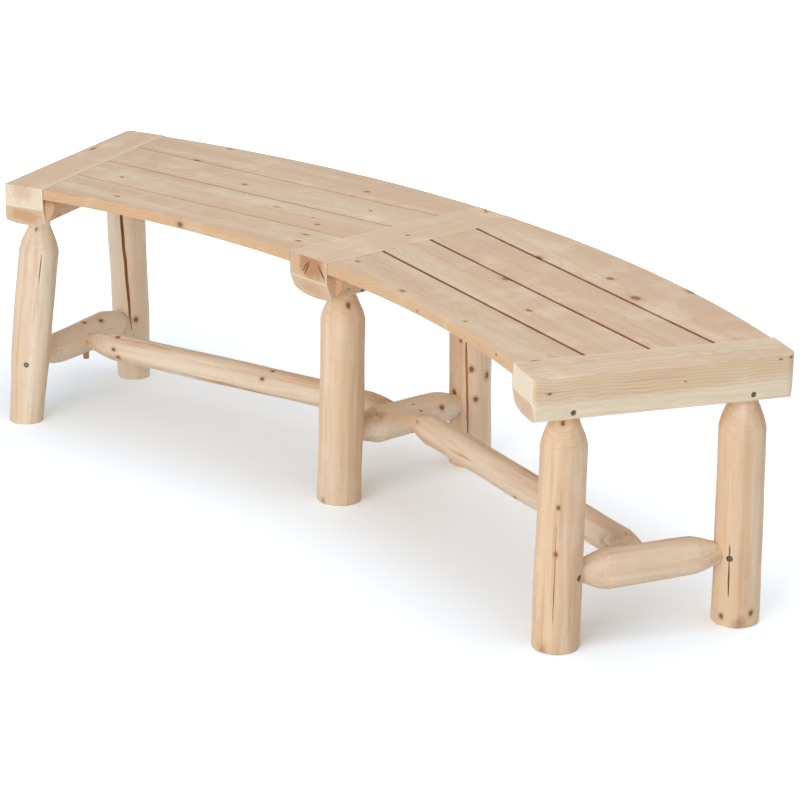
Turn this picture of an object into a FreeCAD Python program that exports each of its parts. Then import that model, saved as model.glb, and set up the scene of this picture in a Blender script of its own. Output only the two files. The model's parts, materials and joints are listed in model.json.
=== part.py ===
"""Curved log bench: two segments of seat boards between three half-log beams on six round legs.

Z is up and the floor is z = 0. X runs along the bench and the sitter's front is the hollow side, -Y.
The plan is set out from an apex in front of the bench: the middle beam lies on the line straight back
from the apex, and the outer beams on lines turned by BEAM_ANGLE to each side. A place along a beam is its
radial distance from the apex, and a place across a beam is its side distance from the beam's own line.
"""

import FreeCAD, Part
import math
import os

V = FreeCAD.Vector

# Seat
SEAT_HEIGHT = 432.0
BOARD_THICKNESS = 18.0
BEAM_ANGLE = 22.5
FRONT_EDGE_RADIAL = 1549.0
SEAT_DEPTH = 412.2
FRONT_ARC_RADIUS = 1669.6
BACK_ARC_RADIUS = 2064.3
FRONT_BOARD_WIDTH = 114.0
BACK_BOARD_WIDTH = 87.2
INNER_BOARDS_PER_SEGMENT = 2
BOARD_GAP = 5.0
JOINT_GAP = 0.4

# Half-log beams
MIDDLE_TOP_HALF_WIDTH = 45.9
OUTER_TOP_INNER_WIDTH = 20.6
OUTER_TOP_OUTER_WIDTH = 59.0
OUTER_BACK_OVERHANG = 4.0
OUTER_LOG_SHIFT = 23.0
LOG_HALF_WIDTH = 62.0
LOG_DEPTH = 71.0
LOG_FLANK_RADIUS = 44.0
LOG_BELLY_RADIUS = 140.0
SAWN_EDGE_ROUND = 4.0
BEAM_FRONT_CORNER_ROUND = 8.0
BEAM_BACK_CORNER_ROUND = 16.0
LEDGE_SETBACK = 18.0
BEVEL_HEIGHT = 34.0
BEVEL_DEPTH = 11.0

# Legs
FRONT_LEG_INSET = 70.0
BACK_LEG_INSET = 46.2
OUTER_LEG_SIDE_FOOT = 22.0
OUTER_LEG_SIDE_TOP = 26.0
LEG_RADIUS = 36.6
LEG_TOP_RADIUS = 35.6
LEG_TENON_RADIUS = 19.0
LEG_TENON_LENGTH = 42.0
LEG_SHOULDER_LENGTH = 46.0
FOOT_EASE_HEIGHT = 4.0
FOOT_EASE_INSET = 2.6
FOOT_ALLOWANCE = 4.0

# Rungs and stretchers
RUNG_HEIGHT = 112.5
RUNG_RADIUS_FRONT = 30.4
RUNG_RADIUS_BACK = 28.4
RUNG_TENON_RADIUS = 15.5
RUNG_TENON_PAST_AXIS = 12.0
RUNG_SHOULDER_START = 30.0
RUNG_SHOULDER_LENGTH = 46.0
STRETCHER_RADIUS = 24.9
STRETCHER_TENON_RADIUS = 12.5
STRETCHER_TENON_END_GAP = 6.0
STRETCHER_SHOULDER_START = 24.0
STRETCHER_SHOULDER_LENGTH = 56.0

# Fit of tenons in mortises and of screws in their holes
TENON_FIT = 0.25
SCREW_FIT = 0.15
CUT_OVERRUN = 20.0

# Countersunk wood screws
SCREW_HEAD_RADIUS = 4.6
SCREW_HEAD_HEIGHT = 3.2
SCREW_SHANK_RADIUS = 2.5
SCREW_SINK = 1.5
LEG_SCREW_LENGTH = 50.0
LEG_SCREW_DEPTH_BELOW_TOP = 56.5
STRETCHER_SCREW_LENGTH = 34.0
BOARD_SCREW_LENGTH = 32.0
BOARD_SCREW_TIP_BELOW_TOP = 6.0
BOARD_SCREW_TOWARD_FRONT = 20.0

# The logs are peeled with a drawknife, in this many flats all round; screws are cut as octagons.
LOG_FLAT_COUNT = 24
SCREW_FLAT_COUNT = 8

# The boards of the left segment (-1) are set closer than those of the right one (1).
BOARD_GAP_SHARES = {-1: 0.56, 1: 1.0}

# Each natural log differs a little. How far a foot stands off its place along the beam and out to the
# side, as shares of the leg radius, and each log's own size as shares of the named one.
LEG_FOOT_SHIFT_SHARES = {
    "left_front": (-0.97, 0.46),
    "left_back": (-0.95, -0.76),
    "middle_front": (0.21, -0.20),
    "middle_back": (-0.03, 0.0),
    "right_front": (0.04, 0.18),
    "right_back": (0.08, -0.20),
}
LEG_TOP_SHIFT_SHARES = {"front": 0.08, "back": -0.25}
LEG_GIRTH_SHARES = {
    "left_front": 0.98,
    "left_back": 0.98,
    "middle_front": 1.01,
    "middle_back": 1.0,
    "right_front": 0.995,
    "right_back": 1.01,
}
RUNG_HEIGHT_SHARES = {
    "left": (0.966, 0.975),
    "middle": (1.01, 0.995),
    "right": (1.025, 1.01),
}
RUNG_GIRTH_SHARES = {"left": (0.875, 1.085), "middle": (1.01, 1.0), "right": (1.03, 1.03)}
STRETCHER_SHIFT_SHARES = {"left": (-0.32, 0.5), "right": (0.16, 0.17)}
STRETCHER_GIRTH_SHARES = {"left": (1.0, 0.96), "right": (1.0, 1.03)}
LEDGE_SETBACK_SHARES = {"left": 0.3, "middle": 1.0, "right": 0.4}
BEVEL_DEPTH_SHARES = {"left": 0.9, "middle": 1.35, "right": 0.6}
# Rounding of the cone shoulders: (share of the shoulder's length, share of its gain in radius)
LEG_SHOULDER_SHARES = ((0.32, 0.4), (0.68, 0.79))
BAR_SHOULDER_SHARES = ((0.3, 0.34), (0.65, 0.73))

SIDES = {"left": -1, "middle": 0, "right": 1}
BACK_EDGE_RADIAL = FRONT_EDGE_RADIAL + SEAT_DEPTH
PLACES = {
    "front": FRONT_EDGE_RADIAL + FRONT_LEG_INSET,
    "back": BACK_EDGE_RADIAL - BACK_LEG_INSET,
}
# The two arcs of the seat: the radius and how far the arc's centre lies in front of the apex.
ARCS = {
    "front": (FRONT_ARC_RADIUS, FRONT_ARC_RADIUS - FRONT_EDGE_RADIAL),
    "back": (BACK_ARC_RADIUS, BACK_ARC_RADIUS - BACK_EDGE_RADIAL),
}
# Direction in which each rung screw's head faces, in degrees from the bench's right toward its back.
RUNG_SCREW_TURNS = {
    "left_front": -71.0,
    "left_back": 180.0,
    "middle_front": 180.0,
    "middle_back": 180.0,
    "right_front": 40.0,
    "right_back": -44.0,
}


def beam_axes(side):
    """Unit vectors along and across the beam on the given side; across points to the bench's right."""
    turn = math.radians(BEAM_ANGLE * side)
    return V(math.sin(turn), math.cos(turn), 0), V(math.cos(turn), -math.sin(turn), 0)


def arc_radial(side, across, arc):
    """Radial distance at which a line beside the beam's own line crosses one of the seat's arcs."""
    radius, backset = ARCS[arc]
    along, sideways = beam_axes(side)
    start = sideways * across + V(0, backset, 0)
    toward = along.dot(start)
    return math.sqrt(toward**2 - start.dot(start) + radius**2) - toward


def beam_ends(side):
    """Radial distances of a beam's front and back ends."""
    overhang = OUTER_BACK_OVERHANG if side else 0
    return arc_radial(side, 0, "front"), arc_radial(side, 0, "back") + overhang


def from_apex(side, radial, across, height):
    """Place measured from the apex: a radial distance, a distance across the beam's line and a height."""
    along, sideways = beam_axes(side)
    return along * radial + sideways * across + V(0, 0, height)


def leg_line_from_apex(name):
    """Foot and neck points of a leg's axis, measured from the apex."""
    side_name, place = name.split("_")
    side, radial = SIDES[side_name], PLACES[place]
    shift, lean = LEG_FOOT_SHIFT_SHARES[name]
    across = side * OUTER_LEG_SIDE_FOOT + (side or 1) * lean * LEG_RADIUS
    foot = from_apex(side, radial + shift * LEG_RADIUS, across, 0)
    top_radial = radial + LEG_TOP_SHIFT_SHARES[place] * LEG_RADIUS
    neck = from_apex(side, top_radial, side * OUTER_LEG_SIDE_TOP, SEAT_HEIGHT - LOG_DEPTH)
    return foot, neck


def middle_of_depth():
    """Distance from the apex to the middle of the bench's box, front to back."""
    ease = BEAM_FRONT_CORNER_ROUND
    corner = from_apex(1, arc_radial(1, 0, "front") + ease, OUTER_TOP_OUTER_WIDTH - ease, 0)
    fronts = [corner.y - ease]
    for name, girth in LEG_GIRTH_SHARES.items():
        foot, neck = leg_line_from_apex(name)
        widest = foot + (neck - foot) * (FOOT_EASE_HEIGHT / neck.z)
        fronts.append(widest.y - LEG_RADIUS * girth)
    return (min(fronts) + BACK_EDGE_RADIAL) / 2


ORIGIN = V(0, -middle_of_depth(), 0)


def at(side, radial, across, height):
    """Point at a radial distance, a distance across the beam's line and a height."""
    return ORIGIN + from_apex(side, radial, across, height)


def placed(shape, origin, direction):
    """Shape made along +Z from the origin, turned to a direction and moved to a point."""
    turned = shape.copy()
    turned.Placement = FreeCAD.Placement(origin, FreeCAD.Rotation(V(0, 0, 1), direction))
    return turned


def beam_frame(side):
    """Placement that takes (across, radial, height) to the part's frame."""
    along, sideways = beam_axes(side)
    matrix = FreeCAD.Matrix(
        sideways.x, along.x, 0, ORIGIN.x,
        sideways.y, along.y, 0, ORIGIN.y,
        0, 0, 1, 0,
        0, 0, 0, 1,
    )
    return FreeCAD.Placement(matrix)


def log_depth_at(offset):
    """Depth of a log's belly below its flat top, at a distance from the log's centre."""
    hub = LOG_HALF_WIDTH - LOG_FLANK_RADIUS
    meet = hub * LOG_BELLY_RADIUS / (LOG_BELLY_RADIUS - LOG_FLANK_RADIUS)
    if abs(offset) <= meet:
        return LOG_DEPTH - LOG_BELLY_RADIUS + math.sqrt(LOG_BELLY_RADIUS**2 - offset**2)
    return flank_hub_depth() + math.sqrt(LOG_FLANK_RADIUS**2 - (abs(offset) - hub) ** 2)


def belly_edges(left, right, left_depth, right_depth):
    """Edges of the belly from the left end of a log's section, under it, to the right end.

    left and right are distances from the log's centre, and the depths are measured from its flat top."""
    hub = LOG_HALF_WIDTH - LOG_FLANK_RADIUS
    meet = hub * LOG_BELLY_RADIUS / (LOG_BELLY_RADIUS - LOG_FLANK_RADIUS)

    def flank(start, start_depth, sign):
        middle = (abs(start) + meet) / 2
        return Part.Arc(
            V(start, 0, -start_depth),
            V(sign * middle, 0, -log_depth_at(middle)),
            V(sign * meet, 0, -log_depth_at(meet)),
        ).toShape()

    bottom = Part.Arc(
        V(-meet, 0, -log_depth_at(meet)), V(0, 0, -LOG_DEPTH), V(meet, 0, -log_depth_at(meet))
    ).toShape()
    return [flank(left, left_depth, -1), bottom, flank(right, right_depth, 1)]


def ledge_reach():
    """Distance from a log's centre at which its flank meets the floor of a ledge."""
    hub = LOG_HALF_WIDTH - LOG_FLANK_RADIUS
    return hub + math.sqrt(LOG_FLANK_RADIUS**2 - (BOARD_THICKNESS - flank_hub_depth()) ** 2)


def beam_section(side):
    """Section of a beam as a face in the plane of across and height, at radial distance zero."""
    top = SEAT_HEIGHT
    centre = side * OUTER_LOG_SHIFT
    ledge = ledge_reach()
    inner = OUTER_TOP_INNER_WIDTH + OUTER_LOG_SHIFT if side else MIDDLE_TOP_HALF_WIDTH

    def ledge_lines(sign):
        return [
            V(sign * inner, 0, 0),
            V(sign * inner, 0, -BOARD_THICKNESS),
            V(sign * ledge, 0, -BOARD_THICKNESS),
        ]

    if side:
        sawn = OUTER_TOP_OUTER_WIDTH - OUTER_LOG_SHIFT
        depth = log_depth_at(sawn)
        ease = SAWN_EDGE_ROUND
        turn = ease * (1 - math.sqrt(1 / 2))
        edges = belly_edges(-ledge, sawn, BOARD_THICKNESS, depth)
        edges.append(Part.LineSegment(V(sawn, 0, -depth), V(sawn, 0, -ease)).toShape())
        edges.append(
            Part.Arc(V(sawn, 0, -ease), V(sawn - turn, 0, -turn), V(sawn - ease, 0, 0)).toShape()
        )
        points = [V(sawn - ease, 0, 0)] + ledge_lines(-1)
    else:
        edges = belly_edges(-ledge, ledge, BOARD_THICKNESS, BOARD_THICKNESS)
        points = ledge_lines(1)[::-1] + ledge_lines(-1)
    edges += [Part.LineSegment(a, b).toShape() for a, b in zip(points, points[1:])]
    section = Part.Face(Part.Wire(Part.__sortEdges__(edges)))
    if side < 0:
        section = section.mirror(V(0, 0, 0), V(1, 0, 0))
    section.translate(V(centre, 0, top))
    return section


def polygon(points):
    return Part.Face(Part.makePolygon(points + points[:1]))


def beam_plan(name):
    """Outline of a beam seen from above, as a prism: the ledges stop short of the ends."""
    side = SIDES[name]
    front, back = beam_ends(side)
    setback = LEDGE_SETBACK * LEDGE_SETBACK_SHARES[name]
    deep = SEAT_HEIGHT - LOG_DEPTH - CUT_OVERRUN
    rise = V(0, 0, LOG_DEPTH + CUT_OVERRUN + CUT_OVERRUN)
    if side:
        inner, outer = -side * OUTER_TOP_INNER_WIDTH, side * OUTER_TOP_OUTER_WIDTH
    else:
        inner, outer = -MIDDLE_TOP_HALF_WIDTH, MIDDLE_TOP_HALF_WIDTH
    block = polygon([
        V(inner, front, deep), V(outer, front, deep), V(outer, back, deep), V(inner, back, deep)
    ]).extrude(rise)
    if side:
        for radial, ease in ((front, BEAM_FRONT_CORNER_ROUND), (back, BEAM_BACK_CORNER_ROUND)):
            corners = [
                edge for edge in block.Edges
                if abs(edge.Vertexes[0].X - outer) + abs(edge.Vertexes[-1].X - outer) < JOINT_GAP
                and abs(edge.Vertexes[0].Y - radial) + abs(edge.Vertexes[-1].Y - radial) < JOINT_GAP
            ]
            block = block.makeFillet(ease, corners)
    reach = LOG_HALF_WIDTH + OUTER_LOG_SHIFT
    stop_front, stop_back = front + setback, back - setback
    ends = [inner, -side * reach] if side else [-reach, reach]
    wings = polygon([
        V(ends[0], stop_front, deep), V(ends[1], stop_front, deep),
        V(ends[1], stop_back, deep), V(ends[0], stop_back, deep),
    ]).extrude(rise)
    return block.fuse(wings).removeSplitter()


def bevel_cut(name, radial, inward):
    """Wedge that undercuts a beam's end; inward is +1 at the front end and -1 at the back end."""
    foot = SEAT_HEIGHT - LOG_DEPTH
    depth = BEVEL_DEPTH * BEVEL_DEPTH_SHARES[name]
    slope = depth / BEVEL_HEIGHT
    wide = LOG_HALF_WIDTH + OUTER_LOG_SHIFT + CUT_OVERRUN
    wedge = polygon([
        V(-wide, radial, foot + BEVEL_HEIGHT),
        V(-wide, radial + inward * (depth + CUT_OVERRUN * slope), foot - CUT_OVERRUN),
        V(-wide, radial - inward * CUT_OVERRUN, foot - CUT_OVERRUN),
        V(-wide, radial - inward * CUT_OVERRUN, foot + BEVEL_HEIGHT),
    ])
    return wedge.extrude(V(wide + wide, 0, 0))


def beam_blank(name):
    """A beam before its mortises and screw holes are cut."""
    side = SIDES[name]
    front, back = beam_ends(side)
    section = beam_section(side)
    section.translate(V(0, front, 0))
    log = section.extrude(V(0, back - front, 0))
    log = log.common(beam_plan(name))
    log = log.cut([bevel_cut(name, front, 1), bevel_cut(name, back, -1)])
    log.Placement = beam_frame(side)
    return log


def flats_solid(stations, flats):
    """Solid with flat sides along +Z from a list of stations, each a radius and a height."""
    turns = [2 * math.pi * (k + 0.5) / flats for k in range(flats)]
    rings = [[V(r * math.cos(t), r * math.sin(t), z) for t in turns] for r, z in stations]
    faces = [polygon(rings[0][::-1]), polygon(rings[-1])]
    for low, high in zip(rings, rings[1:]):
        for k in range(flats):
            after = (k + 1) % flats
            faces.append(polygon([low[k], low[after], high[after], high[k]]))
    return Part.Solid(Part.Shell(faces))


def shoulder(narrow, wide, shares):
    """Stations of a rounded cone shoulder from its narrow end to its wide end."""
    (r0, z0), (r1, z1) = narrow, wide
    between = [(r0 + (r1 - r0) * gain, z0 + (z1 - z0) * run) for run, gain in shares]
    return [narrow] + between + [wide]


def leg_solid(name, grow=0.0):
    """Leg from the floor to the end of its tenon; grow widens it all over, to cut its mortise."""
    foot, top = leg_line(name)
    length = (top - foot).Length
    girth = LEG_GIRTH_SHARES[name]
    radius, upper = LEG_RADIUS * girth + grow, LEG_TOP_RADIUS * girth + grow
    neck = LEG_TENON_RADIUS + grow
    crown = shoulder((neck, length), (upper, length - LEG_SHOULDER_LENGTH), LEG_SHOULDER_SHARES)
    stations = [(radius - FOOT_EASE_INSET, -FOOT_ALLOWANCE), (radius, FOOT_EASE_HEIGHT)]
    stations += crown[::-1] + [(neck, length + LEG_TENON_LENGTH + grow)]
    leg = placed(flats_solid(stations, LOG_FLAT_COUNT), foot, top - foot)
    under = LEG_RADIUS + LEG_RADIUS + CUT_OVERRUN
    floor_cut = Part.makeBox(
        under + under, under + under, CUT_OVERRUN, foot - V(under, under, CUT_OVERRUN)
    )
    return leg.cut(floor_cut)


def leg_line(name):
    """Foot and neck points of a leg's axis."""
    foot, neck = leg_line_from_apex(name)
    return ORIGIN + foot, ORIGIN + neck


def leg_point(name, height):
    """Point of a leg's axis at a height."""
    foot, neck = leg_line(name)
    return foot + (neck - foot) * (height / neck.z)


def bar_solid(start, end, radii, tenon, past, shoulder_start, shoulder_length, grow=0.0):
    """Round bar with a tenon past each of the two points that it joins, and a cone shoulder inside each."""
    length = (end - start).Length
    first, second = radii[0] + grow, radii[1] + grow
    neck = tenon + grow
    low, high = shoulder_start, length - shoulder_start
    near = shoulder((neck, low), (first, low + shoulder_length), BAR_SHOULDER_SHARES)
    far = shoulder((neck, high), (second, high - shoulder_length), BAR_SHOULDER_SHARES)
    stations = [(neck, -past - grow)] + near + far[::-1] + [(neck, length + past + grow)]
    return placed(flats_solid(stations, LOG_FLAT_COUNT), start, end - start)


def rung_line(side_name):
    """Points where a rung's axis meets the axes of its front and back legs."""
    low, high = RUNG_HEIGHT_SHARES[side_name]
    return (
        leg_point(side_name + "_front", RUNG_HEIGHT * low),
        leg_point(side_name + "_back", RUNG_HEIGHT * high),
    )


def rung_solid(side_name, grow=0.0):
    start, end = rung_line(side_name)
    front, back = RUNG_GIRTH_SHARES[side_name]
    return bar_solid(
        start, end, (RUNG_RADIUS_FRONT * front, RUNG_RADIUS_BACK * back),
        RUNG_TENON_RADIUS, RUNG_TENON_PAST_AXIS, RUNG_SHOULDER_START, RUNG_SHOULDER_LENGTH, grow,
    )


def rung_point(side_name, shift):
    """Point of a rung's axis where a stretcher meets it: halfway between the legs, moved toward the back
    by a share of the stretcher's radius."""
    start, end = rung_line(side_name)
    shift_share = shift * STRETCHER_RADIUS / (PLACES["back"] - PLACES["front"])
    return start + (end - start) * (1 / 2 + shift_share)


def stretcher_line(side_name):
    """Ends of a stretcher's axis: on the outer rung's axis and on the middle rung's axis."""
    shifts = STRETCHER_SHIFT_SHARES[side_name]
    if side_name == "left":
        return rung_point("left", shifts[0]), rung_point("middle", shifts[1])
    return rung_point("middle", shifts[0]), rung_point("right", shifts[1])


def stretcher_solid(side_name, grow=0.0):
    start, end = stretcher_line(side_name)
    first, second = STRETCHER_GIRTH_SHARES[side_name]
    return bar_solid(
        start, end, (STRETCHER_RADIUS * first, STRETCHER_RADIUS * second),
        STRETCHER_TENON_RADIUS, -STRETCHER_TENON_END_GAP, STRETCHER_SHOULDER_START,
        STRETCHER_SHOULDER_LENGTH, grow,
    )


def screw_solid(length):
    """Countersunk screw along +Z: the head's flat face at the origin, the shank's end at its length."""
    head, shank = SCREW_HEAD_RADIUS, SCREW_SHANK_RADIUS
    return flats_solid([(head, 0), (shank, SCREW_HEAD_HEIGHT), (shank, length)], SCREW_FLAT_COUNT)


def screw_hole(length, bore):
    """Hole for a screw: its own form with clearance, and a bore of the head's size out past the surface."""
    head, shank = SCREW_HEAD_RADIUS + SCREW_FIT, SCREW_SHANK_RADIUS + SCREW_FIT
    stations = [(head, -bore), (head, 0), (shank, SCREW_HEAD_HEIGHT), (shank, length + SCREW_FIT)]
    return flats_solid(stations, SCREW_FLAT_COUNT)


def leg_screws(side_name):
    """Screws through a beam's side into the tenons of its two legs, as (length, head, direction, bore)."""
    side = SIDES[side_name]
    facing = side or 1
    along, sideways = beam_axes(side)
    depth = LEG_SCREW_DEPTH_BELOW_TOP
    if side:
        surface = OUTER_TOP_OUTER_WIDTH
    else:
        hub = LOG_HALF_WIDTH - LOG_FLANK_RADIUS
        surface = hub + math.sqrt(LOG_FLANK_RADIUS**2 - (depth - flank_hub_depth()) ** 2)
    screws = []
    for place in PLACES:
        centre = leg_point(side_name + "_" + place, SEAT_HEIGHT - depth)
        across = (centre - ORIGIN).dot(sideways)
        head = centre + sideways * (facing * (surface - SCREW_SINK) - across)
        screws.append((LEG_SCREW_LENGTH, head, sideways * -facing, CUT_OVERRUN))
    return screws


def rung_screws(side_name):
    """Screws through the legs into the two tenons of a rung."""
    along, sideways = beam_axes(SIDES[side_name])
    screws = []
    for place, centre in zip(PLACES, rung_line(side_name)):
        turn = math.radians(RUNG_SCREW_TURNS[side_name + "_" + place])
        facing = sideways * math.cos(turn) + along * math.sin(turn)
        head = centre + facing * (LEG_TOP_RADIUS - SCREW_SINK)
        screws.append((LEG_SCREW_LENGTH, head, facing * -1, CUT_OVERRUN))
    return screws


def stretcher_screws(side_name):
    """Screws from under the rungs up into the two tenons of a stretcher."""
    start, end = stretcher_line(side_name)
    run = (end - start).normalize()
    inset = (STRETCHER_TENON_END_GAP + STRETCHER_SHOULDER_START) / 2
    under = math.sqrt(RUNG_RADIUS_BACK**2 - inset**2) * min(RUNG_GIRTH_SHARES["left"])
    screws = []
    for point in (start + run * inset, end - run * inset):
        head = point - V(0, 0, under - SCREW_SINK)
        screws.append((STRETCHER_SCREW_LENGTH, head, V(0, 0, 1), CUT_OVERRUN))
    return screws


def board_screws(segment, side_name):
    """Screws up through a beam's ledge into the ends of the boards of one segment."""
    side = SIDES[side_name]
    along, sideways = beam_axes(side)
    across_top = joint_line(side)
    log_edge = ledge_reach() if side == 0 else ledge_reach() - OUTER_LOG_SHIFT
    across = segment_direction(segment, side) * (across_top + log_edge) / 2
    square, _ = segment_axes(segment)
    depth = BOARD_SCREW_TIP_BELOW_TOP + BOARD_SCREW_LENGTH
    screws = []
    for low, high in board_lines(segment):
        line_at = (low + high) / 2 - BOARD_SCREW_TOWARD_FRONT
        radial = (line_at - across * sideways.dot(square)) / along.dot(square)
        head = at(side, radial, across, SEAT_HEIGHT - depth)
        screws.append((BOARD_SCREW_LENGTH, head, V(0, 0, 1), LOG_DEPTH - depth))
    return screws


def joint_line(side):
    """Distance from a beam's line to the edge of its top that meets the board ends."""
    return OUTER_TOP_INNER_WIDTH if side else MIDDLE_TOP_HALF_WIDTH


def segment_direction(segment, side):
    """Sign of the side of a beam on which a segment lies: segment is -1 for left and +1 for right."""
    return segment if side == 0 else -side


def segment_axes(segment):
    """Unit vectors of a segment: square to its boards, away from the apex, and along its boards."""
    turn = math.radians(BEAM_ANGLE * segment / 2)
    return V(math.sin(turn), math.cos(turn), 0), V(math.cos(turn), -math.sin(turn), 0)


def board_lines(segment):
    """Nearest and farthest distance from the apex, square to the boards, of each board at its ends."""
    half = math.cos(math.radians(BEAM_ANGLE / 2))
    front, back = arc_radial(segment, 0, "front") * half, arc_radial(segment, 0, "back") * half
    first, last = front + FRONT_BOARD_WIDTH, back - BACK_BOARD_WIDTH
    pitch = (last - first) / INNER_BOARDS_PER_SEGMENT
    lines = [first + pitch * n for n in range(INNER_BOARDS_PER_SEGMENT + 1)]
    return list(zip([front] + lines, lines + [back]))


def segment_slab(segment):
    """All the boards of a segment as one slab, cut to the seat's arcs and along the two beams."""
    corners = {}
    for side in (0, segment):
        across = segment_direction(segment, side) * (joint_line(side) + JOINT_GAP)
        for name in ARCS:
            radial = arc_radial(side, across, name)
            corners[side, name] = at(side, radial, across, SEAT_HEIGHT - BOARD_THICKNESS)
    edges = []
    for name, (radius, backset) in ARCS.items():
        centre = ORIGIN - V(0, backset, 0) + V(0, 0, SEAT_HEIGHT - BOARD_THICKNESS)
        halfway = (corners[0, name] + corners[segment, name]) / 2 - centre
        middle = centre + halfway.normalize() * radius
        edges.append(Part.Arc(corners[0, name], middle, corners[segment, name]).toShape())
    for side in (0, segment):
        edges.append(Part.LineSegment(corners[side, "front"], corners[side, "back"]).toShape())
    slab = Part.Face(Part.Wire(Part.__sortEdges__(edges)))
    return slab.extrude(V(0, 0, BOARD_THICKNESS))


def strip(segment, low, high):
    """Prism between two lines square to a segment, from below the boards to above them."""
    square, run = segment_axes(segment)
    reach = run * BACK_ARC_RADIUS
    base = ORIGIN + V(0, 0, SEAT_HEIGHT - BOARD_THICKNESS - CUT_OVERRUN)
    face = polygon([
        base + square * low - reach, base + square * low + reach,
        base + square * high + reach, base + square * high - reach,
    ])
    return face.extrude(V(0, 0, BOARD_THICKNESS + CUT_OVERRUN + CUT_OVERRUN))


def board_solid(segment, index):
    """Board of a segment, counted from the sitter's side."""
    lines = board_lines(segment)
    gap = BOARD_GAP * BOARD_GAP_SHARES[segment]
    low, high = lines[index]
    low = low + gap / 2 if index > 0 else low - LOG_DEPTH
    high = high - gap / 2 if index < len(lines) - 1 else high + LOG_DEPTH
    return segment_slab(segment).common(strip(segment, low, high))


def flank_hub_depth():
    """Depth below a log's flat top of the centre of its flank arcs."""
    hub = LOG_HALF_WIDTH - LOG_FLANK_RADIUS
    reach = LOG_BELLY_RADIUS - LOG_FLANK_RADIUS
    return LOG_DEPTH - LOG_BELLY_RADIUS + math.sqrt(reach**2 - hub**2)


def drilled(shape, screws):
    """Shape with the holes of the given screws cut in it."""
    holes = [placed(screw_hole(length, bore), head, run) for length, head, run, bore in screws]
    return shape.cut(holes)


def screw_group(screws):
    return Part.makeCompound([
        placed(screw_solid(length), head, run) for length, head, run, bore in screws
    ])


def write(name, shape):
    """Write a node, or a group of like solids, as a STEP file."""
    shape.exportStep("parts/" + name + ".step")
    print(name, "solids", len(shape.Solids), "volume", round(shape.Volume), shape.isValid())


SEGMENTS = {"left": -1, "right": 1}
BEAMS_OF_SEGMENT = {"left": ("left", "middle"), "right": ("middle", "right")}


def main():
    os.makedirs("parts", exist_ok=True)
    ledge_screws = {name: [] for name in SIDES}
    for segment_name, segment in SEGMENTS.items():
        screws = []
        for beam in BEAMS_OF_SEGMENT[segment_name]:
            found = board_screws(segment, beam)
            ledge_screws[beam] += found
            screws += found
        for index in range(len(board_lines(segment))):
            board = drilled(board_solid(segment, index), screws)
            write("board_" + segment_name + "_" + str(index + 1), board)
        write("board_screws_" + segment_name, screw_group(screws))

    for name in SIDES:
        legs = [name + "_" + place for place in PLACES]
        beam = beam_blank(name).cut([leg_solid(leg, TENON_FIT) for leg in legs])
        write("beam_" + name, drilled(beam, leg_screws(name) + ledge_screws[name]))
        for leg in legs:
            shape = leg_solid(leg).cut(rung_solid(name, TENON_FIT))
            write("leg_" + leg, drilled(shape, leg_screws(name) + rung_screws(name)))

    tenon_screws = {name: stretcher_screws(name) for name in SEGMENTS}
    for name in SIDES:
        meeting = [key for key, beams in BEAMS_OF_SEGMENT.items() if name in beams]
        rung = rung_solid(name).cut([stretcher_solid(key, TENON_FIT) for key in meeting])
        holes = rung_screws(name)
        for key in meeting:
            holes += tenon_screws[key]
        write("rung_" + name, drilled(rung, holes))
    for name in SEGMENTS:
        write("stretcher_" + name, drilled(stretcher_solid(name), tenon_screws[name]))

    write("leg_tenon_screws", screw_group([s for name in SIDES for s in leg_screws(name)]))
    write("rung_tenon_screws", screw_group([s for name in SIDES for s in rung_screws(name)]))
    write("stretcher_tenon_screws", screw_group(tenon_screws["left"] + tenon_screws["right"]))


main()
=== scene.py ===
"""Curved log bench: peeled logs, half-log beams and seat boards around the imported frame."""

import json
import math
from contextlib import contextmanager

import bmesh
import bpy
from bpy.props import FloatProperty, FloatVectorProperty, IntProperty, PointerProperty
from mathutils import Matrix, Vector

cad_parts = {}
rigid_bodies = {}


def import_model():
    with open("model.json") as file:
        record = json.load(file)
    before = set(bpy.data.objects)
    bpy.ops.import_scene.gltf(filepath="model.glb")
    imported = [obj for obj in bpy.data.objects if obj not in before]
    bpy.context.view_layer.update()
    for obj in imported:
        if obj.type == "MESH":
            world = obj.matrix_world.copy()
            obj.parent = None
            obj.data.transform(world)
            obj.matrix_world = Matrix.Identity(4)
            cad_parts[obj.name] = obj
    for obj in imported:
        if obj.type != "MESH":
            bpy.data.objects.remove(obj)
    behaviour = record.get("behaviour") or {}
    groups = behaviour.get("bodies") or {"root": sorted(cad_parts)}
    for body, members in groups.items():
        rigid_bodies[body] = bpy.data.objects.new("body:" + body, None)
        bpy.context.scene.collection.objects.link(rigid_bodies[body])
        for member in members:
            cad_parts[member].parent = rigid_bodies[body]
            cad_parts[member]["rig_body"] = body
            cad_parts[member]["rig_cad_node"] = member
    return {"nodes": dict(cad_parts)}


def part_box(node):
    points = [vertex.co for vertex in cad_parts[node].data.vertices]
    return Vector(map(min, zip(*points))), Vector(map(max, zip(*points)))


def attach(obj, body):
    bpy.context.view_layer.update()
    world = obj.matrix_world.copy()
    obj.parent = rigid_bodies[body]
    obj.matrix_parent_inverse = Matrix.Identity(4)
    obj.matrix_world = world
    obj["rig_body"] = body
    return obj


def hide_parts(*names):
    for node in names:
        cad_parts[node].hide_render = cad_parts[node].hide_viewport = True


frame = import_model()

bl_info = {
    "name": "Curved log bench",
    "version": (1, 0, 0),
    "blender": (4, 5, 0),
    "location": "View3D > Sidebar > Bench",
    "description": "Dresses a curved bench of peeled logs and seat boards",
    "category": "Object",
}

MM = 0.001
UP = Vector((0, 0, 1))

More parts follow.
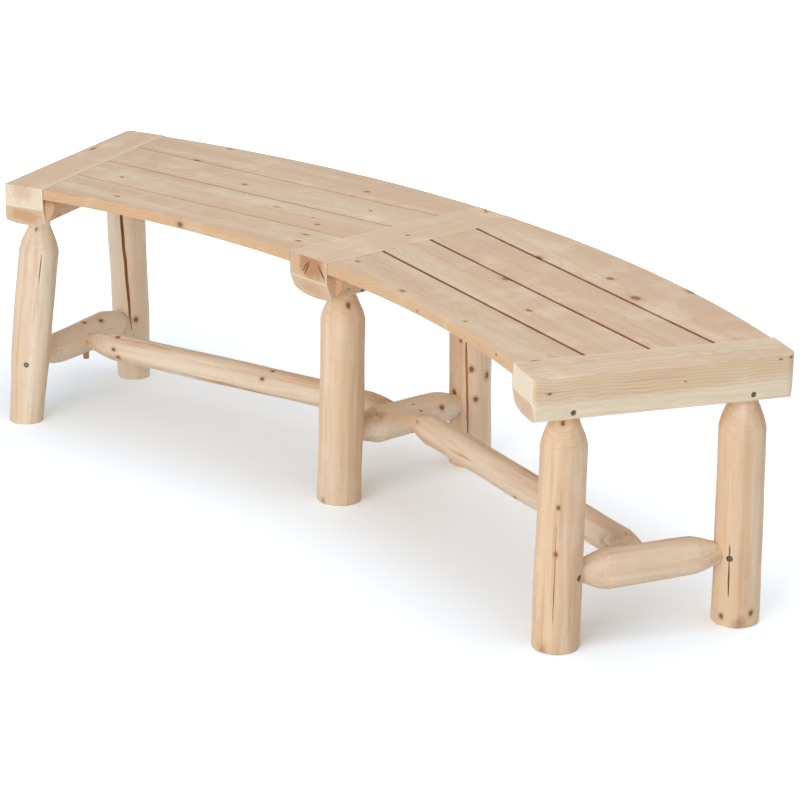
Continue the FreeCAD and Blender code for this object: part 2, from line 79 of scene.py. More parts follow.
# Set-out of the bench, as the frame has it
BEAM_ANGLE = math.radians(22.5)
SIDE_TURNS = {"left": -1, "middle": 0, "right": 1}
SEGMENT_TURNS = {"left": -0.5, "right": 0.5}
# Stretchers in each rung, and whether they start there
STRETCHERS_IN = {
    "left": [("stretcher_left", True)],
    "middle": [("stretcher_right", True), ("stretcher_left", False)],
    "right": [("stretcher_right", False)],
}
BOARDS_PER_SEGMENT = 4
SCREW_NODES = (
    "board_screws_left", "board_screws_right", "leg_tenon_screws", "rung_tenon_screws",
    "stretcher_tenon_screws",
)
LEG_NAMES = [side + "_" + place for side in SIDE_TURNS for place in ("front", "back")]

# Axis along the grain in a piece's own frame
BOARD_GRAIN = 0
BEAM_GRAIN = 1
LOG_GRAIN = 2

# Packed logs: corners in one ring, the least gap between two rings, the rings of one shoulder and the
# rounds in which a log's direction settles; packed screws: corners in each end
LOG_CORNERS = 24
RING_GAP = 1.2 * MM
SHOULDER_RINGS = 4
SETTLING_ROUNDS = 4
SCREW_CORNERS = 8
# Digits that tell packed corners apart, in metres
CORNER_DIGITS = 5

# Joints in the dressed logs: fit round a tenon, and the reach of a mortise's cutter out of the log
TENON_FIT = 0.25 * MM
MORTISE_REACH = 60 * MM
# Hole of a screw in a log: radius, depth below the head's face and the reach of its cutter from there
SCREW_HOLE_RADIUS = 5.2 * MM
SCREW_HOLE_DEPTH = 0.8 * MM
SCREW_HOLE_REACH = 16 * MM
# A screw's head belongs to a log when it lies no further than this outside the log's widest ring
HEAD_SLACK = 2 * MM
# Length of a leg below the floor before its foot is sawn off level, and the saw cut's tolerance
FOOT_ALLOWANCE = 5 * MM
CUT_TOLERANCE = 0.001 * MM
# Width and length of the drawknife's strokes, and how much a log's girth swings along it
STROKE_WIDTH = 14 * MM
STROKE_LENGTH = 150 * MM
GIRTH_SWING = 0.008
# Inset of the faces that close a log's ends
END_INSET = 1.5 * MM
# Length of the bends in a drying check, and depth of the checks in a beam's end
DRIFT_LENGTH = 26 * MM
END_CHECK_DEPTH = 4 * MM
# Planks: nearer corners are merged, flatter edges dissolved and sharper edges rounded
MERGE_WITHIN = 0.01 * MM
FLAT_WITHIN = math.radians(0.4)
ROUND_ABOVE = math.radians(40)
# A beam's end faces are at least this square to it, and the edge at the undercut at least this sharp
LEAST_SQUARENESS = 0.85
LEAST_UNDERCUT = math.radians(6)
# Edges flatter than this are shaded smooth
SMOOTH_BELOW = math.radians(38)
# Corners this near a beam's highest one lie in its flat top
TOP_WITHIN = 0.1 * MM
# Ledges narrower than this carry no boards, and the joint on their side counts as far off
LEAST_LEDGE = 6 * MM
FAR_OFF = 1.0

# Cosines between which a surface turns from side grain to end grain
END_GRAIN_FROM = (0.7, 0.9)
# Middle of each log's growth rings, off its own line
LOG_PITH = (1.5 * MM, -2 * MM, 0)
# Growth rings: how far they sway, swell round a knot and run uneven, in mm, and their pull along the grain
RING_SWAY = 14
RING_SWELL = 6
RING_UNEVENNESS = 5
RING_PULL = 0.03
# Raggedness of a knot's outline
KNOT_SHAKE = 3.2 * MM
# Late wood as a share of a year: its peak, and where it starts in logs and in planks
RING_PEAK = 0.94
LOG_RING_RISE = 0.78
PLANK_RING_RISE = 0.42

# Stage, in metres: the floor, the distances between which it turns white, and the lamps
FLOOR_SIZE = 30.0
WHITE_FROM = 1.0
WHITE_PAST = 2.2
LAMPS_AIM = Vector((0, 0, 0.25))
OVERHEAD_PLACE = Vector((0.3, 0.4, 3.2))
OVERHEAD_SIZE = 2.8
FRONT_PLACE = Vector((1.8, -5.9, 1.8))
FRONT_SIZE = 4.2

# Camera: place in metres, turns, lens and sensor in mm
CAMERA_PLACE = Vector((3.65937, -3.23876, 1.89542))
CAMERA_AZIMUTH = math.radians(47.934)
CAMERA_ELEVATION = math.radians(19.533)
CAMERA_ROLL = math.radians(1.168)
CAMERA_LENS = 142.0
CAMERA_SENSOR = 36.0

# Knots in the boards' tops: place along and across the board, half length and half width, in mm
BOARD_KNOTS = {
    "board_left_1": [(-139, -6, 6, 3), (243, 25, 6, 3), (256, -11, 6, 3)],
    "board_left_2": [(-214, -17, 5, 3), (104, 14, 7, 2), (190, 2, 3, 2), (220, -23, 5, 3)],
    "board_left_3": [(-25, -16, 5, 4), (237, -3, 3, 3)],
    "board_left_4": [(-194, 52, 6, 3), (-189, -50, 9, 9), (161, -10, 6, 4)],
    "board_right_1": [(-269, -12, 4, 4), (-104, -27, 6, 4), (68, -19, 4, 3)],
    "board_right_2": [(-83, 42, 8, 6), (68, -12, 7, 4)],
    "board_right_3": [(-178, 49, 5, 4), (127, 49, 5, 3)],
    "board_right_4": [(-157, -50, 11, 9), (-10, -8, 7, 6), (91, -29, 11, 8), (104, 65, 12, 5)],
}
# Knots that show on a board's sawn front edge: place along the board and height, half length and height
EDGE_KNOTS = {"board_left_1": [(29, -1.5, 6, 4.8)], "board_right_1": [(205, 3, 2, 2), (-40, -3, 2, 2)]}
# Knots in the beams' flat tops, as for the boards
BEAM_KNOTS = {
    "beam_left": [(-34, 64, 3, 10)],
    "beam_middle": [(6, 0, 3, 4), (-24, 201, 3, 4), (-14, 194, 3, 4)],
    "beam_right": [(-31, -172, 4, 8)],
}
# Knots in the right beam's outer face: place along the beam, height from the top and radius, in mm
FACE_KNOTS = {"beam_right": [(-179, -24, 1.7), (32, -25, 1), (183, -6, 1.3), (200, -4, 1.6)]}
# Middle of each beam's growth rings: place across its line and height from the top, in mm
BEAM_PITHS = {"beam_left": (-9, -3), "beam_middle": (4, -7), "beam_right": (10, -58)}
# Width of one year's growth in each beam, in mm
BEAM_RINGS = {"beam_left": 5.6, "beam_middle": 4.2, "beam_right": 3.3}
# Warm strip along each beam's flat top: from and to across its line, in mm, and how warm it is
BEAM_STRIPS = {"beam_left": (-60, 5, 0.7), "beam_middle": (-50, 38, 0.3), "beam_right": (-40, 22, 0.1)}
# Height of the undercut at the beams' ends, and thickness of the boards let into the beams
UNDERCUT = 34 * MM
BOARD_THICKNESS = 18 * MM
# How tan each beam's end is, how much brown heartwood it shows and how wide that is, in mm
BEAM_ENDS = {
    "beam_left": (0.15, 0.35, 20), "beam_middle": (0.85, 0.9, 26), "beam_right": (0.1, 0.1, 20),
}
# Orange spot in each beam's undercut: half sizes across, along and up in mm, 0 for any, and its strength
UNDERCUT_SPOT = (28, 0, 13)
UNDERCUT_STAINS = {"beam_left": 0.6, "beam_middle": 0.35, "beam_right": 0.1}
# How far each board's wood leans to the warm colour, from -1 to 1
BOARD_WARMTHS = {
    "board_left_1": 0.2, "board_left_2": 0.2, "board_left_3": 0.35, "board_left_4": 0.55,
    "board_right_1": 0.5, "board_right_2": 0.0, "board_right_3": 0.4, "board_right_4": 0.3,
}
# How dark the walls are in each gap between a segment's boards, from the sitter's side: painted shade in the
# gaps, along with darker sawn wood
GAP_SHADES = {"left": (0.1, 0.3, 0.5), "right": (1.0, 1.0, 1.0)}
# How far each log leans to the warm colour; the left back leg's lean to the pale colour is partly painted
# light, making up for the seat's shade on it
LOG_WARMTHS = {
    "leg_left_front": -0.3, "leg_left_back": -0.8, "leg_middle_front": 0.6, "leg_middle_back": 0.0,
    "leg_right_front": 0.8, "leg_right_back": 0.7, "rung_left": -0.6, "rung_middle": -0.5,
    "rung_right": 0.2, "stretcher_left": -0.3, "stretcher_right": -0.3,
}
# Knots round the logs: place along the log in mm, angle round it in degrees, and radius in mm
LOG_KNOTS = {
    "leg_left_front": [(345, -53, 2), (210, 60, 6), (96, 150, 7)],
    "leg_left_back": [(109, -22, 4), (250, 95, 7), (160, -160, 6)],
    "leg_middle_front": [(345, -19, 4), (120, 110, 7), (240, -170, 6)],
    "leg_middle_back": [
        (179, -41, 4), (126, -29, 4), (164, 7, 5), (228, -72, 2.5), (133, -95, 4), (300, 120, 7),
    ],
    "leg_right_front": [(355, -50, 3), (231, -51, 3), (158, -53, 3), (90, 120, 7)],
    "leg_right_back": [(18, -83, 3.5), (24, -7, 4), (200, 140, 7)],
    "rung_left": [(196, -40, 4), (162, -66, 3), (120, 120, 5)],
    "rung_middle": [(210, -25, 4), (140, 130, 5)],
    "rung_right": [(150, 140, 5)],
    "stretcher_left": [(89, -83, 3), (88, -142, 3), (98, -49, 3), (408, -103, 3), (420, -150, 3)],
    "stretcher_right": [(360, -60, 3), (210, 100, 4), (560, -80, 3)],
}
# Dirt and bark stains on the logs, as for the knots
LOG_STAINS = {
    "stretcher_left": [(585, -120, 20), (640, -60, 14)],
    "stretcher_right": [(630, -110, 22)],
    "rung_middle": [(78, -60, 15)],
    "leg_middle_front": [(120, -150, 12), (4, -90, 9)],
    "leg_right_front": [(8, -78, 12)],
    "leg_right_back": [(10, -40, 12)],
}
# How strong the orange streaks are on most logs, and on those that show more of them
FAINT_STREAKS = 0.15
LOG_STREAKS = {
    "stretcher_left": 0.9, "stretcher_right": 1.0, "leg_left_front": 0.3, "leg_right_front": 0.45,
    "rung_middle": 0.3,
}
# How far down a leg's shoulder starts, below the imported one, in mm
SHOULDER_DROPS = {"leg_left_front": 13}
# Open drying checks: start and end along the log, angle round it at each end in degrees, width and depth
LOG_CHECKS = {
    "leg_left_front": [(308, 246, -26, -28, 2.4, 4)],
    "leg_left_back": [(392, 70, -58, -37, 6.0, 7), (40, -14, -38, -37, 2.6, 4)],
    "leg_middle_back": [(243, 54, -57, -49, 4.6, 4)],
    "leg_right_front": [(222, 48, -54, -54, 1.7, 3)],
    "leg_right_back": [(112, 52, -67, -66, 2.6, 4), (138, 119, -67, -67, 2.0, 3)],
    "rung_middle": [(160, 153, -57, -64, 2.0, 3), (169, 160, -28, -37, 2.0, 3)],
}
# Drying checks in the middle beam's front end: place across and height from the top twice, and width
END_CHECKS = [(3, -5, -9, -31, 5.0), (-3, -8, -14, -27, 2.4), (22, -6, 40, -30, 4.4)]


def linear(red, green, blue):
    """Linear colour of a screen colour given from 0 to 255."""
    def one(value):
        share = value / 255
        return share / 12.92 if share <= 0.04045 else ((share + 0.055) / 1.055) ** 2.4
    return (one(red), one(green), one(blue))


def colour(name, about, red, green, blue):
    """Colour setting with its default given from 0 to 255."""
    return FloatVectorProperty(
        name=name, description=about, subtype="COLOR", default=linear(red, green, blue), min=0, max=1,
    )


def length(name, about, default, low, high):
    """Length setting with its default and limits given in mm."""
    return FloatProperty(
        name=name, description=about, subtype="DISTANCE", default=default * MM, min=low * MM, max=high * MM,
    )


class WoodLook(bpy.types.PropertyGroup):
    """Colours and grain of the bare wood, and colours of the screws."""

    top_pale: colour("Top, pale", "Pale wood on the planed tops", 214, 195, 167)
    top_warm: colour("Top, warm", "Warm bands on the planed tops", 208, 179, 150)
    sawn_pale: colour("Sawn edge, pale", "Pale wood on the boards' sawn edges", 228, 196, 156)
    sawn_warm: colour("Sawn edge, warm", "Orange bands on the boards' sawn edges", 222, 180, 136)
    beam_pale: colour("Beam, pale", "Pale wood on the beams' sides", 242, 222, 192)
    beam_warm: colour("Beam, warm", "Warm bands on the beams' sides", 230, 200, 164)
    log_pale: colour("Log, pale", "Pale sapwood of the peeled logs", 248, 228, 202)
    log_warm: colour("Log, warm", "Warm streaks on the peeled logs", 236, 202, 166)
    log_tan: colour("Log, tan", "Tan patches where the inner bark was thin", 216, 172, 132)
    resin: colour("Resin streak", "Orange streaks on the peeled logs", 206, 146, 84)
    # Real brown stains on the logs; also the painted shadow under the boards on the beams' ledges
    stain_and_shade: colour("Stain", "Brown stain of bark and dirt", 150, 98, 56)
    end_pale: colour("End grain", "Pale wood of the sawn ends", 250, 232, 206)
    heart: colour("Heartwood", "Brown wood in the middle of a beam's end", 188, 132, 88)
    # Tan of the beams' sawn ends; on the undercuts, the ledges and the faces turned down it is partly
    # painted shade
    bevel: colour("End bevel", "Tan wood of the undercut at a beam's end", 216, 172, 132)
    late_wood: colour("Late wood", "Dark line of each growth ring", 184, 136, 94)
    # Palest fibres of the grain; also the painted highlights along the beams' edges and joints
    pale_fibre_and_highlight: colour("Pale fibre", "Palest fibres", 252, 238, 214)
    knot_core: colour("Knot", "Middle of a knot", 126, 88, 58)
    knot_rim: colour("Knot's rim", "Bark line round a knot", 92, 58, 36)
    knot_halo: colour("Knot's halo", "Resin-stained wood round a knot", 196, 142, 98)
    # Colour of the gap walls: painted shade in the gaps, along with darker sawn wood
    gap_wall_and_shade: colour("Gap wall", "Dark sawn wall inside a gap between boards", 178, 122, 84)
    check_inside: colour("Inside of a check", "Wood inside a drying check", 208, 150, 100)
    check_deep: colour("Depth of a check", "Darker wood inside a drying check", 160, 104, 62)
    plating: colour("Plating", "Plated steel of the screws", 128, 118, 104)
    tarnish: colour("Tarnish", "Tarnished spots on the screws", 70, 56, 44)
    ring_spacing: length("Ring spacing", "Width of one year's growth", 3.4, 1, 10)


class LogShape(bpy.types.PropertyGroup):
    """Shape of the hand-peeled logs."""

    sides: IntProperty(
        name="Sides", description="Points round a log before it is made finer", default=48, min=12, max=96,
    )
    foot_ease: length("Foot", "How far a foot's edge is pared in", 2.4, 0, 10)
    ring_step: length("Ring step", "Distance between the rings that a log is drawn out in", 9, 4, 40)
    flats: length("Flats", "Depth of the drawknife's flats", 1.9, 0, 5)
    wander: length("Wander", "How far a log's middle wanders off a straight line", 1.2, 0, 10)


class PlankShape(bpy.types.PropertyGroup):
    """Shape of the sawn edges."""

    board_ease: length("Board edges", "Rounding of the boards' edges", 1.2, 0, 5)
    beam_ease: length("Beam edges", "Rounding of the beams' edges", 3.0, 0, 8)


class StageLook(bpy.types.PropertyGroup):
    """Floor and lights."""

    overhead: FloatProperty(
        name="Overhead light", description="Power of the large soft light above", default=40, unit="POWER",
    )
    front: FloatProperty(
        name="Front light", description="Power of the soft light left of the camera", default=176,
        unit="POWER",
    )
    around: FloatProperty(
        name="Light around", description="Strength of the even light from all round", default=0.47,
    )
    floor: colour("Floor", "Colour of the pale floor", 236, 246, 255)
    lift: FloatProperty(
        name="Floor's lift", description="How many times brighter the camera sees the floor",
        default=1.54, min=1, max=2,
    )


class Socket:
    """A shader value that can be used in sums: each sum adds its Math node."""

    def __init__(self, graph, socket):
        self.graph = graph
        self.socket = socket

    def __add__(self, other):
        return self.graph.maths("ADD", self, other)

    def __sub__(self, other):
        return self.graph.maths("SUBTRACT", self, other)

    def __rsub__(self, other):
        return self.graph.maths("SUBTRACT", other, self)

    def __mul__(self, other):
        return self.graph.maths("MULTIPLY", self, other)

    def __truediv__(self, other):
        return self.graph.maths("DIVIDE", self, other)

    def __rtruediv__(self, other):
        return self.graph.maths("DIVIDE", other, self)

    __radd__ = __add__
    __rmul__ = __mul__


class Graph:
    """Builds the nodes of one material or world."""

    def __init__(self, owner):
        self.owner = owner
        owner.use_nodes = True
        self.tree = owner.node_tree
        self.tree.nodes.clear()

    def node(self, kind, settings=None, values=None, output=0):
        """Adds a node, sets it up, joins or fills its sockets and gives one of its outputs."""
        made = self.tree.nodes.new("ShaderNode" + kind)
        for name, value in (settings or {}).items():
            setattr(made, name, value)
        for key, value in (values or {}).items():
            socket = made.inputs[key]
            if isinstance(value, Socket):
                self.tree.links.new(value.socket, socket)
            elif isinstance(socket.default_value, float):
                socket.default_value = value
            else:
                opaque = [1] * (len(socket.default_value) - len(value))
                socket.default_value = list(value) + opaque
        return Socket(self, made.outputs[output]) if made.outputs else None

    def maths(self, operation, first, second=0.0):
        return self.node("Math", {"operation": operation}, {0: first, 1: second})

    def vector(self, operation, first, second, output="Vector"):
        return self.node("VectorMath", {"operation": operation}, {0: first, 1: second}, output)

    def length(self, vector):
        return self.node("VectorMath", {"operation": "LENGTH"}, {0: vector}, "Value")

    def scaled(self, vector, factor):
        return self.node("VectorMath", {"operation": "SCALE"}, {0: vector, "Scale": factor})

    def mix(self, factor, first, second):
        return self.node("Mix", {"data_type": "RGBA"}, {0: factor, 6: first, 7: second}, 2)

    def noise(self, place, scale, detail=2.0, rough=0.5, output="Fac"):
        values = {"Vector": place, "Scale": scale, "Detail": detail, "Roughness": rough}
        return self.node("TexNoise", {}, values, output)

    def step(self, value, low, high):
        """Smooth step from 0 at low to 1 at high."""
        return self.node(
            "MapRange", {"interpolation_type": "SMOOTHSTEP"},
            {"Value": value, "From Min": low, "From Max": high, "To Min": 0.0, "To Max": 1.0},
        )

    def fade(self, value, low, high):
        """Smooth step from 1 at low to 0 at high."""
        return 1 - self.step(value, low, high)

    def seen_or_mirrored(self):
        """1 for rays from the camera and rays off a glossy surface."""
        by_camera = self.node("LightPath", {}, {}, "Is Camera Ray")
        in_gloss = self.node("LightPath", {}, {}, "Is Glossy Ray")
        return self.node("Clamp", {}, {"Value": by_camera + in_gloss, "Min": 0.0, "Max": 1.0})

    def finish(self, colour, roughness, height, depth, metallic=0.0):
        """Makes the surface, with its relief as deep as the depth, and gives the material."""
        relief = self.node(
            "Bump", {}, {"Strength": 1.0, "Distance": depth, "Height": height}, "Normal",
        )
        surface = self.node(
            "BsdfPrincipled", {},
            {"Base Color": colour, "Roughness": roughness, "Metallic": metallic, "Normal": relief}, "BSDF",
        )
        self.node("OutputMaterial", {}, {"Surface": surface})
        return self.owner


def log_matrix(start, end):
    """Frame of a log: its origin at the start and Z along it."""
    turn = UP.rotation_difference((end - start).normalized())
    return Matrix.Translation(start) @ turn.to_matrix().to_4x4()


def seat_matrix(node, turn, height):
    """Frame of a board or beam: Y away from the sitter's side, Z up, its origin at its middle."""
    low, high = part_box(node)
    middle = (low + high) / 2
    middle.z = height
    return Matrix.Translation(middle) @ Matrix.Rotation(-turn * BEAM_ANGLE, 4, "Z")


def piece_place(graph, matrix):
    """Place on a piece in its own frame, in metres."""
    where = graph.node("TexCoord", {}, {}, "Object")
    return graph.node(
        "Mapping", {"vector_type": "TEXTURE"},
        {"Vector": where, "Location": matrix.to_translation(), "Rotation": matrix.to_euler()},
    )


def nearest(graph, distances):
    """Least of several distances."""
    least = distances[0]
    for distance in distances[1:]:
        least = graph.maths("MINIMUM", least, distance)
    return least


def spot_reach(graph, place, middle, radii):
    """Distance from a spot's middle as a share of its radii, all in mm; a radius of 0 leaves an axis out."""
    offset = graph.vector("SUBTRACT", place, [value * MM for value in middle])
    return graph.length(graph.vector("MULTIPLY", offset, [1 / size / MM if size else 0 for size in radii]))


def plank_knots(graph, place, tops, edges, faces):
    """Distances to the knots of a board or beam, each as a share of its knot's radius."""
    found = []
    for along, across, half_length, half_width in tops:
        found.append(spot_reach(graph, place, (along, across, 0), (half_length, half_width, 0)))
    for along, height, half_length, half_height in edges:
        found.append(spot_reach(graph, place, (along, 0, height), (half_length, 0, half_height)))
    for along, height, radius in faces:
        found.append(spot_reach(graph, place, (0, along, height), (0, 2 * radius, radius)))
    return found


def log_knots(graph, place, knots):
    """Distances to the knots of a log, each as a share of its knot's radius."""
    found = []
    for along, degrees, radius in knots:
        turn = math.radians(degrees)
        outward = (math.cos(turn), math.sin(turn), 0)
        offset = graph.vector("SUBTRACT", place, (0, 0, along * MM))
        reach = graph.maths("MAXIMUM", graph.vector("DOT_PRODUCT", offset, outward, "Value"), 0.0)
        apart = graph.vector("SUBTRACT", offset, graph.scaled(outward, reach))
        shares = graph.vector("MULTIPLY", apart, (1 / radius / MM, 1 / radius / MM, 0.8 / radius / MM))
        found.append(graph.length(shares))
    return found


class Wood:
    """Bare softwood of one piece, laid out in the piece's own frame; the seed shifts its pattern."""

    def __init__(self, name, matrix, grain_axis, pith, seed):
        self.look = bpy.context.scene.bench_wood
        self.graph = Graph(bpy.data.materials.new(name))
        self.grain_axis = grain_axis
        self.pith = pith
        self.place = piece_place(self.graph, matrix)
        self.moved = self.graph.vector("ADD", self.place, (seed, seed * 0.7, seed * 1.3))
        normal = "Normal" if grain_axis == LOG_GRAIN else "True Normal"
        self.normal = self.graph.node("NewGeometry", {}, {}, normal)
        self.along = matrix.to_3x3().col[grain_axis].copy()
        self.reach = None

    def facing(self, direction):
        """Cosine between the surface's normal and a direction."""
        return self.graph.vector("DOT_PRODUCT", self.normal, direction, "Value")

    def on_top(self):
        """1 where the surface faces up."""
        return self.graph.step(self.facing(UP), 0.6, 0.95)

    def squareness(self):
        """Cosine between the surface's normal and the grain: 1 on a square end."""
        return self.graph.maths("ABSOLUTE", self.facing(self.along))

    def noise(self, across, along, detail=2.0, rough=0.5):
        """Noise drawn out along the grain, with so many cells to a metre across it and along it."""
        cells = [across, across, across]
        cells[self.grain_axis] = along
        return self.graph.noise(self.graph.vector("MULTIPLY", self.moved, cells), 1.0, detail, rough)

    def set_knots(self, kind, *tables):
        """Finds the nearest knot, with its outline a little ragged."""
        graph = self.graph
        shake = graph.noise(self.moved, 150.0, output="Color")
        offset = graph.scaled(graph.vector("SUBTRACT", shake, (0.5, 0.5, 0.5)), KNOT_SHAKE)
        self.reach = nearest(graph, kind(graph, graph.vector("ADD", self.place, offset), *tables))

    def rings(self, spacing):
        """Late wood's thin lines, round the pith and bent round the knots."""
        graph = self.graph
        sway = self.noise(9.0, 1.6, 1.0) - 0.5
        flat = [1.0, 1.0, 1.0]
        flat[self.grain_axis] = RING_PULL
        offset = graph.vector("SUBTRACT", self.place, self.pith)
        radius = graph.length(graph.vector("MULTIPLY", offset, flat))
        swell = RING_SWELL * MM / (1 + self.reach * self.reach)
        uneven = graph.noise(offset, 34.0, 1.0) * RING_UNEVENNESS * MM
        years = (radius + sway * RING_SWAY * MM + swell + uneven) / spacing
        wave = graph.maths("FRACT", years)
        rise = LOG_RING_RISE if self.grain_axis == LOG_GRAIN else PLANK_RING_RISE
        return graph.step(wave, rise, RING_PEAK) * graph.fade(wave, RING_PEAK, 1.0)

    def bands(self, pale, warm, warmth):
        """Two tones of wood in long bands."""
        bands = self.graph.step(self.noise(24.0, 1.7) + warmth * 0.2, 0.34, 0.68)
        return self.graph.mix(bands, pale, warm)

    def finished(self, base, ring_share, spacing=None):
        """Adds rings, fibre, small marks and knots to the base colour, and makes the surface."""
        graph = self.graph
        look = self.look
        late = self.rings(spacing or look.ring_spacing)
        fibre = self.noise(760.0, 18.0, 3.0, 0.62)
        strand = self.noise(210.0, 5.0, 2.0, 0.6)
        hair = self.noise(330.0, 4.5, 1.0)
        blotch = graph.noise(self.moved, 13.0, 3.0, 0.6)
        core = graph.fade(self.reach, 0.55, 1.1)
        rim = core * graph.step(self.reach, 0.35, 0.7)
        for share, shade in (
            (late * ring_share, look.late_wood),
            (graph.step(strand, 0.56, 0.8) * 0.3, look.late_wood),
            (graph.step(fibre, 0.58, 0.8) * 0.22, look.late_wood),
            (graph.fade(fibre, 0.2, 0.44) * 0.22, look.pale_fibre_and_highlight),
            (graph.fade(blotch, 0.3, 0.5) * 0.2, look.pale_fibre_and_highlight),
            (graph.step(hair, 0.79, 0.83) * 0.5, look.knot_core),
            (graph.fade(self.reach, 0.8, 2.4) * 0.6, look.knot_halo),
            (core * 0.92, look.knot_core),
            (rim * 0.5, look.knot_rim),
        ):
            base = graph.mix(share, base, shade)
        height = fibre * 0.4 + strand * 0.4 + late * 0.25 + blotch * 0.8 - rim * 0.8
        roughness = 0.6 + late * 0.08 + strand * 0.1 - core * 0.12
        return graph.finish(base, roughness, height, 0.4 * MM)


def board_wood(node, matrix, pith, seed, gap_shades):
    """Wood of a seat board; the walls of its gaps are darker, partly painted shade and partly darker sawn
    wood.
    """
    wood = Wood(node + "_wood", matrix, BOARD_GRAIN, pith, seed)
    graph = wood.graph
    look = wood.look
    wood.set_knots(plank_knots, BOARD_KNOTS[node], EDGE_KNOTS.get(node, []), [])
    sawn = wood.bands(look.sawn_pale, look.sawn_warm, BOARD_WARMTHS[node])
    top = wood.bands(look.top_pale, look.top_warm, BOARD_WARMTHS[node])
    base = graph.mix(wood.on_top(), sawn, top)
    back = matrix.to_3x3() @ Vector((0, 1, 0))
    # Painted shade in the gaps: walls that face a neighbouring board darken, along with darker sawn wood
    for sign, shade in gap_shades.items():
        wall = graph.step(wood.facing(back * sign), 0.35, 0.6)
        base = graph.mix(wall * shade, base, look.gap_wall_and_shade)
    return wood.finished(base, 0.16)


def beam_top(node, wood, place_across, from_joint):
    """Planed top of a beam, with one warm strip along it and a painted highlight along its joints."""
    graph = wood.graph
    look = wood.look
    low, high, warmth = BEAM_STRIPS[node]
    swayed = place_across + (wood.noise(20.0, 3.0) - 0.5) * 10 * MM
    strip = graph.step(swayed, (low - 12) * MM, low * MM) * graph.fade(swayed, high * MM, (high + 16) * MM)
    top = wood.bands(look.top_pale, look.top_warm, (strip * 2.4 - 1.1) * warmth)
    top = graph.mix(0.12, top, look.pale_fibre_and_highlight)
    # Painted highlight: a pale line along each joint with the boards
    return graph.mix(graph.fade(from_joint, 0.4 * MM, 3.5 * MM) * 0.5, top, look.pale_fibre_and_highlight)


def beam_end(node, wood, place_up, from_joint, depth):
    """Sawn end of a beam: heartwood round the pith, a tan undercut that is partly painted shade with an
    orange spot in it, and painted highlights along its edges.
    """
    graph = wood.graph
    look = wood.look
    tan, heart_share, heart_radius = BEAM_ENDS[node]
    across = BEAM_PITHS[node][0]
    mottle = graph.noise(wood.moved, 55.0, 3.0, 0.6)
    from_pith = graph.vector("MULTIPLY", graph.vector("SUBTRACT", wood.place, wood.pith), (1, 0, 1))
    ragged = graph.length(from_pith) + (mottle - 0.5) * 30 * MM
    heart = graph.fade(ragged, (heart_radius - 7) * MM, (heart_radius + 9) * MM)
    end = graph.mix(tan, look.end_pale, look.bevel)
    end = graph.mix(heart * heart_share, end, look.heart)
    spot = spot_reach(graph, wood.place, (across, 0, (UNDERCUT * 0.5 - depth) / MM), UNDERCUT_SPOT)
    stained = graph.fade(spot + (mottle - 0.5) * 1.4, 0.5, 1.3) * UNDERCUT_STAINS[node]
    # The undercut faces down: its tan colour is partly painted shade, with an orange stain in it
    undercut = graph.mix(stained, graph.mix(0.3, look.bevel, look.end_pale), look.resin)
    end = graph.mix(graph.step(wood.facing(-UP), 0.08, 0.12), end, undercut)
    # Painted highlight: a pale line along the edge above the undercut
    above_undercut = graph.maths("ABSOLUTE", place_up + (depth - UNDERCUT))
    end = graph.mix(graph.fade(above_undercut, 0.8 * MM, 2.6 * MM) * 0.5, end, look.pale_fibre_and_highlight)
    # Painted highlight: a pale line along each joint with the boards, 2 mm in
    from_edge = graph.maths("ABSOLUTE", from_joint - 2 * MM)
    return graph.mix(graph.fade(from_edge, 0.8 * MM, 2.2 * MM) * 0.45, end, look.pale_fibre_and_highlight)


def beam_wood(node, matrix, seed, top_reach, depth):
    """Wood of a half-log beam: planed top, hewn sides, ledges browner with painted shade and a painted
    shadow under the boards, and sawn ends; faces turned down carry painted shade.
    """
    across, height = BEAM_PITHS[node]
    wood = Wood(node + "_wood", matrix, BEAM_GRAIN, (across * MM, 0, height * MM), seed)
    graph = wood.graph
    look = wood.look
    wood.set_knots(plank_knots, BEAM_KNOTS[node], [], FACE_KNOTS.get(node, []))
    place_across = graph.node("SeparateXYZ", {}, {"Vector": wood.place}, "X")
    place_up = graph.node("SeparateXYZ", {}, {"Vector": wood.place}, "Z")
    low, high = top_reach
    from_joint = nearest(graph, [place_across - low, high - place_across])
    top = beam_top(node, wood, place_across, from_joint)

    # Painted shadow under the boards: the ledges darken toward the boards' underside, fading over 15 mm; the
    # ledges' tan is partly painted shade too
    shade_under_board = graph.fade(-BOARD_THICKNESS - place_up, 0.0, 15 * MM)
    shaded_ledge = graph.mix(shade_under_board * 0.75, look.bevel, look.stain_and_shade)
    on_ledge = graph.fade(from_joint, 0.5 * MM, 2 * MM)
    flank = graph.step(place_up, -depth * 0.62, -depth * 0.5)
    side = wood.bands(look.beam_pale, look.beam_warm, flank - 0.6)
    # Painted shade: the beam's faces that turn down are darkened toward the tan colour
    side = graph.mix(graph.step(wood.facing(-UP), 0.1, 0.7) * 0.6, side, look.bevel)
    side = graph.mix(on_ledge * 0.8, side, shaded_ledge)
    base = graph.mix(wood.on_top(), side, top)

    end = graph.mix(on_ledge, beam_end(node, wood, place_up, from_joint, depth), shaded_ledge)
    on_end = graph.step(wood.squareness(), *END_GRAIN_FROM)
    base = graph.mix(on_end, base, end)
    lined = graph.step(place_up, -depth * 0.72, -depth * 0.5)
    return wood.finished(base, (0.24 - on_end * 0.06) * (0.3 + lined * 0.7), BEAM_RINGS[node] * MM)


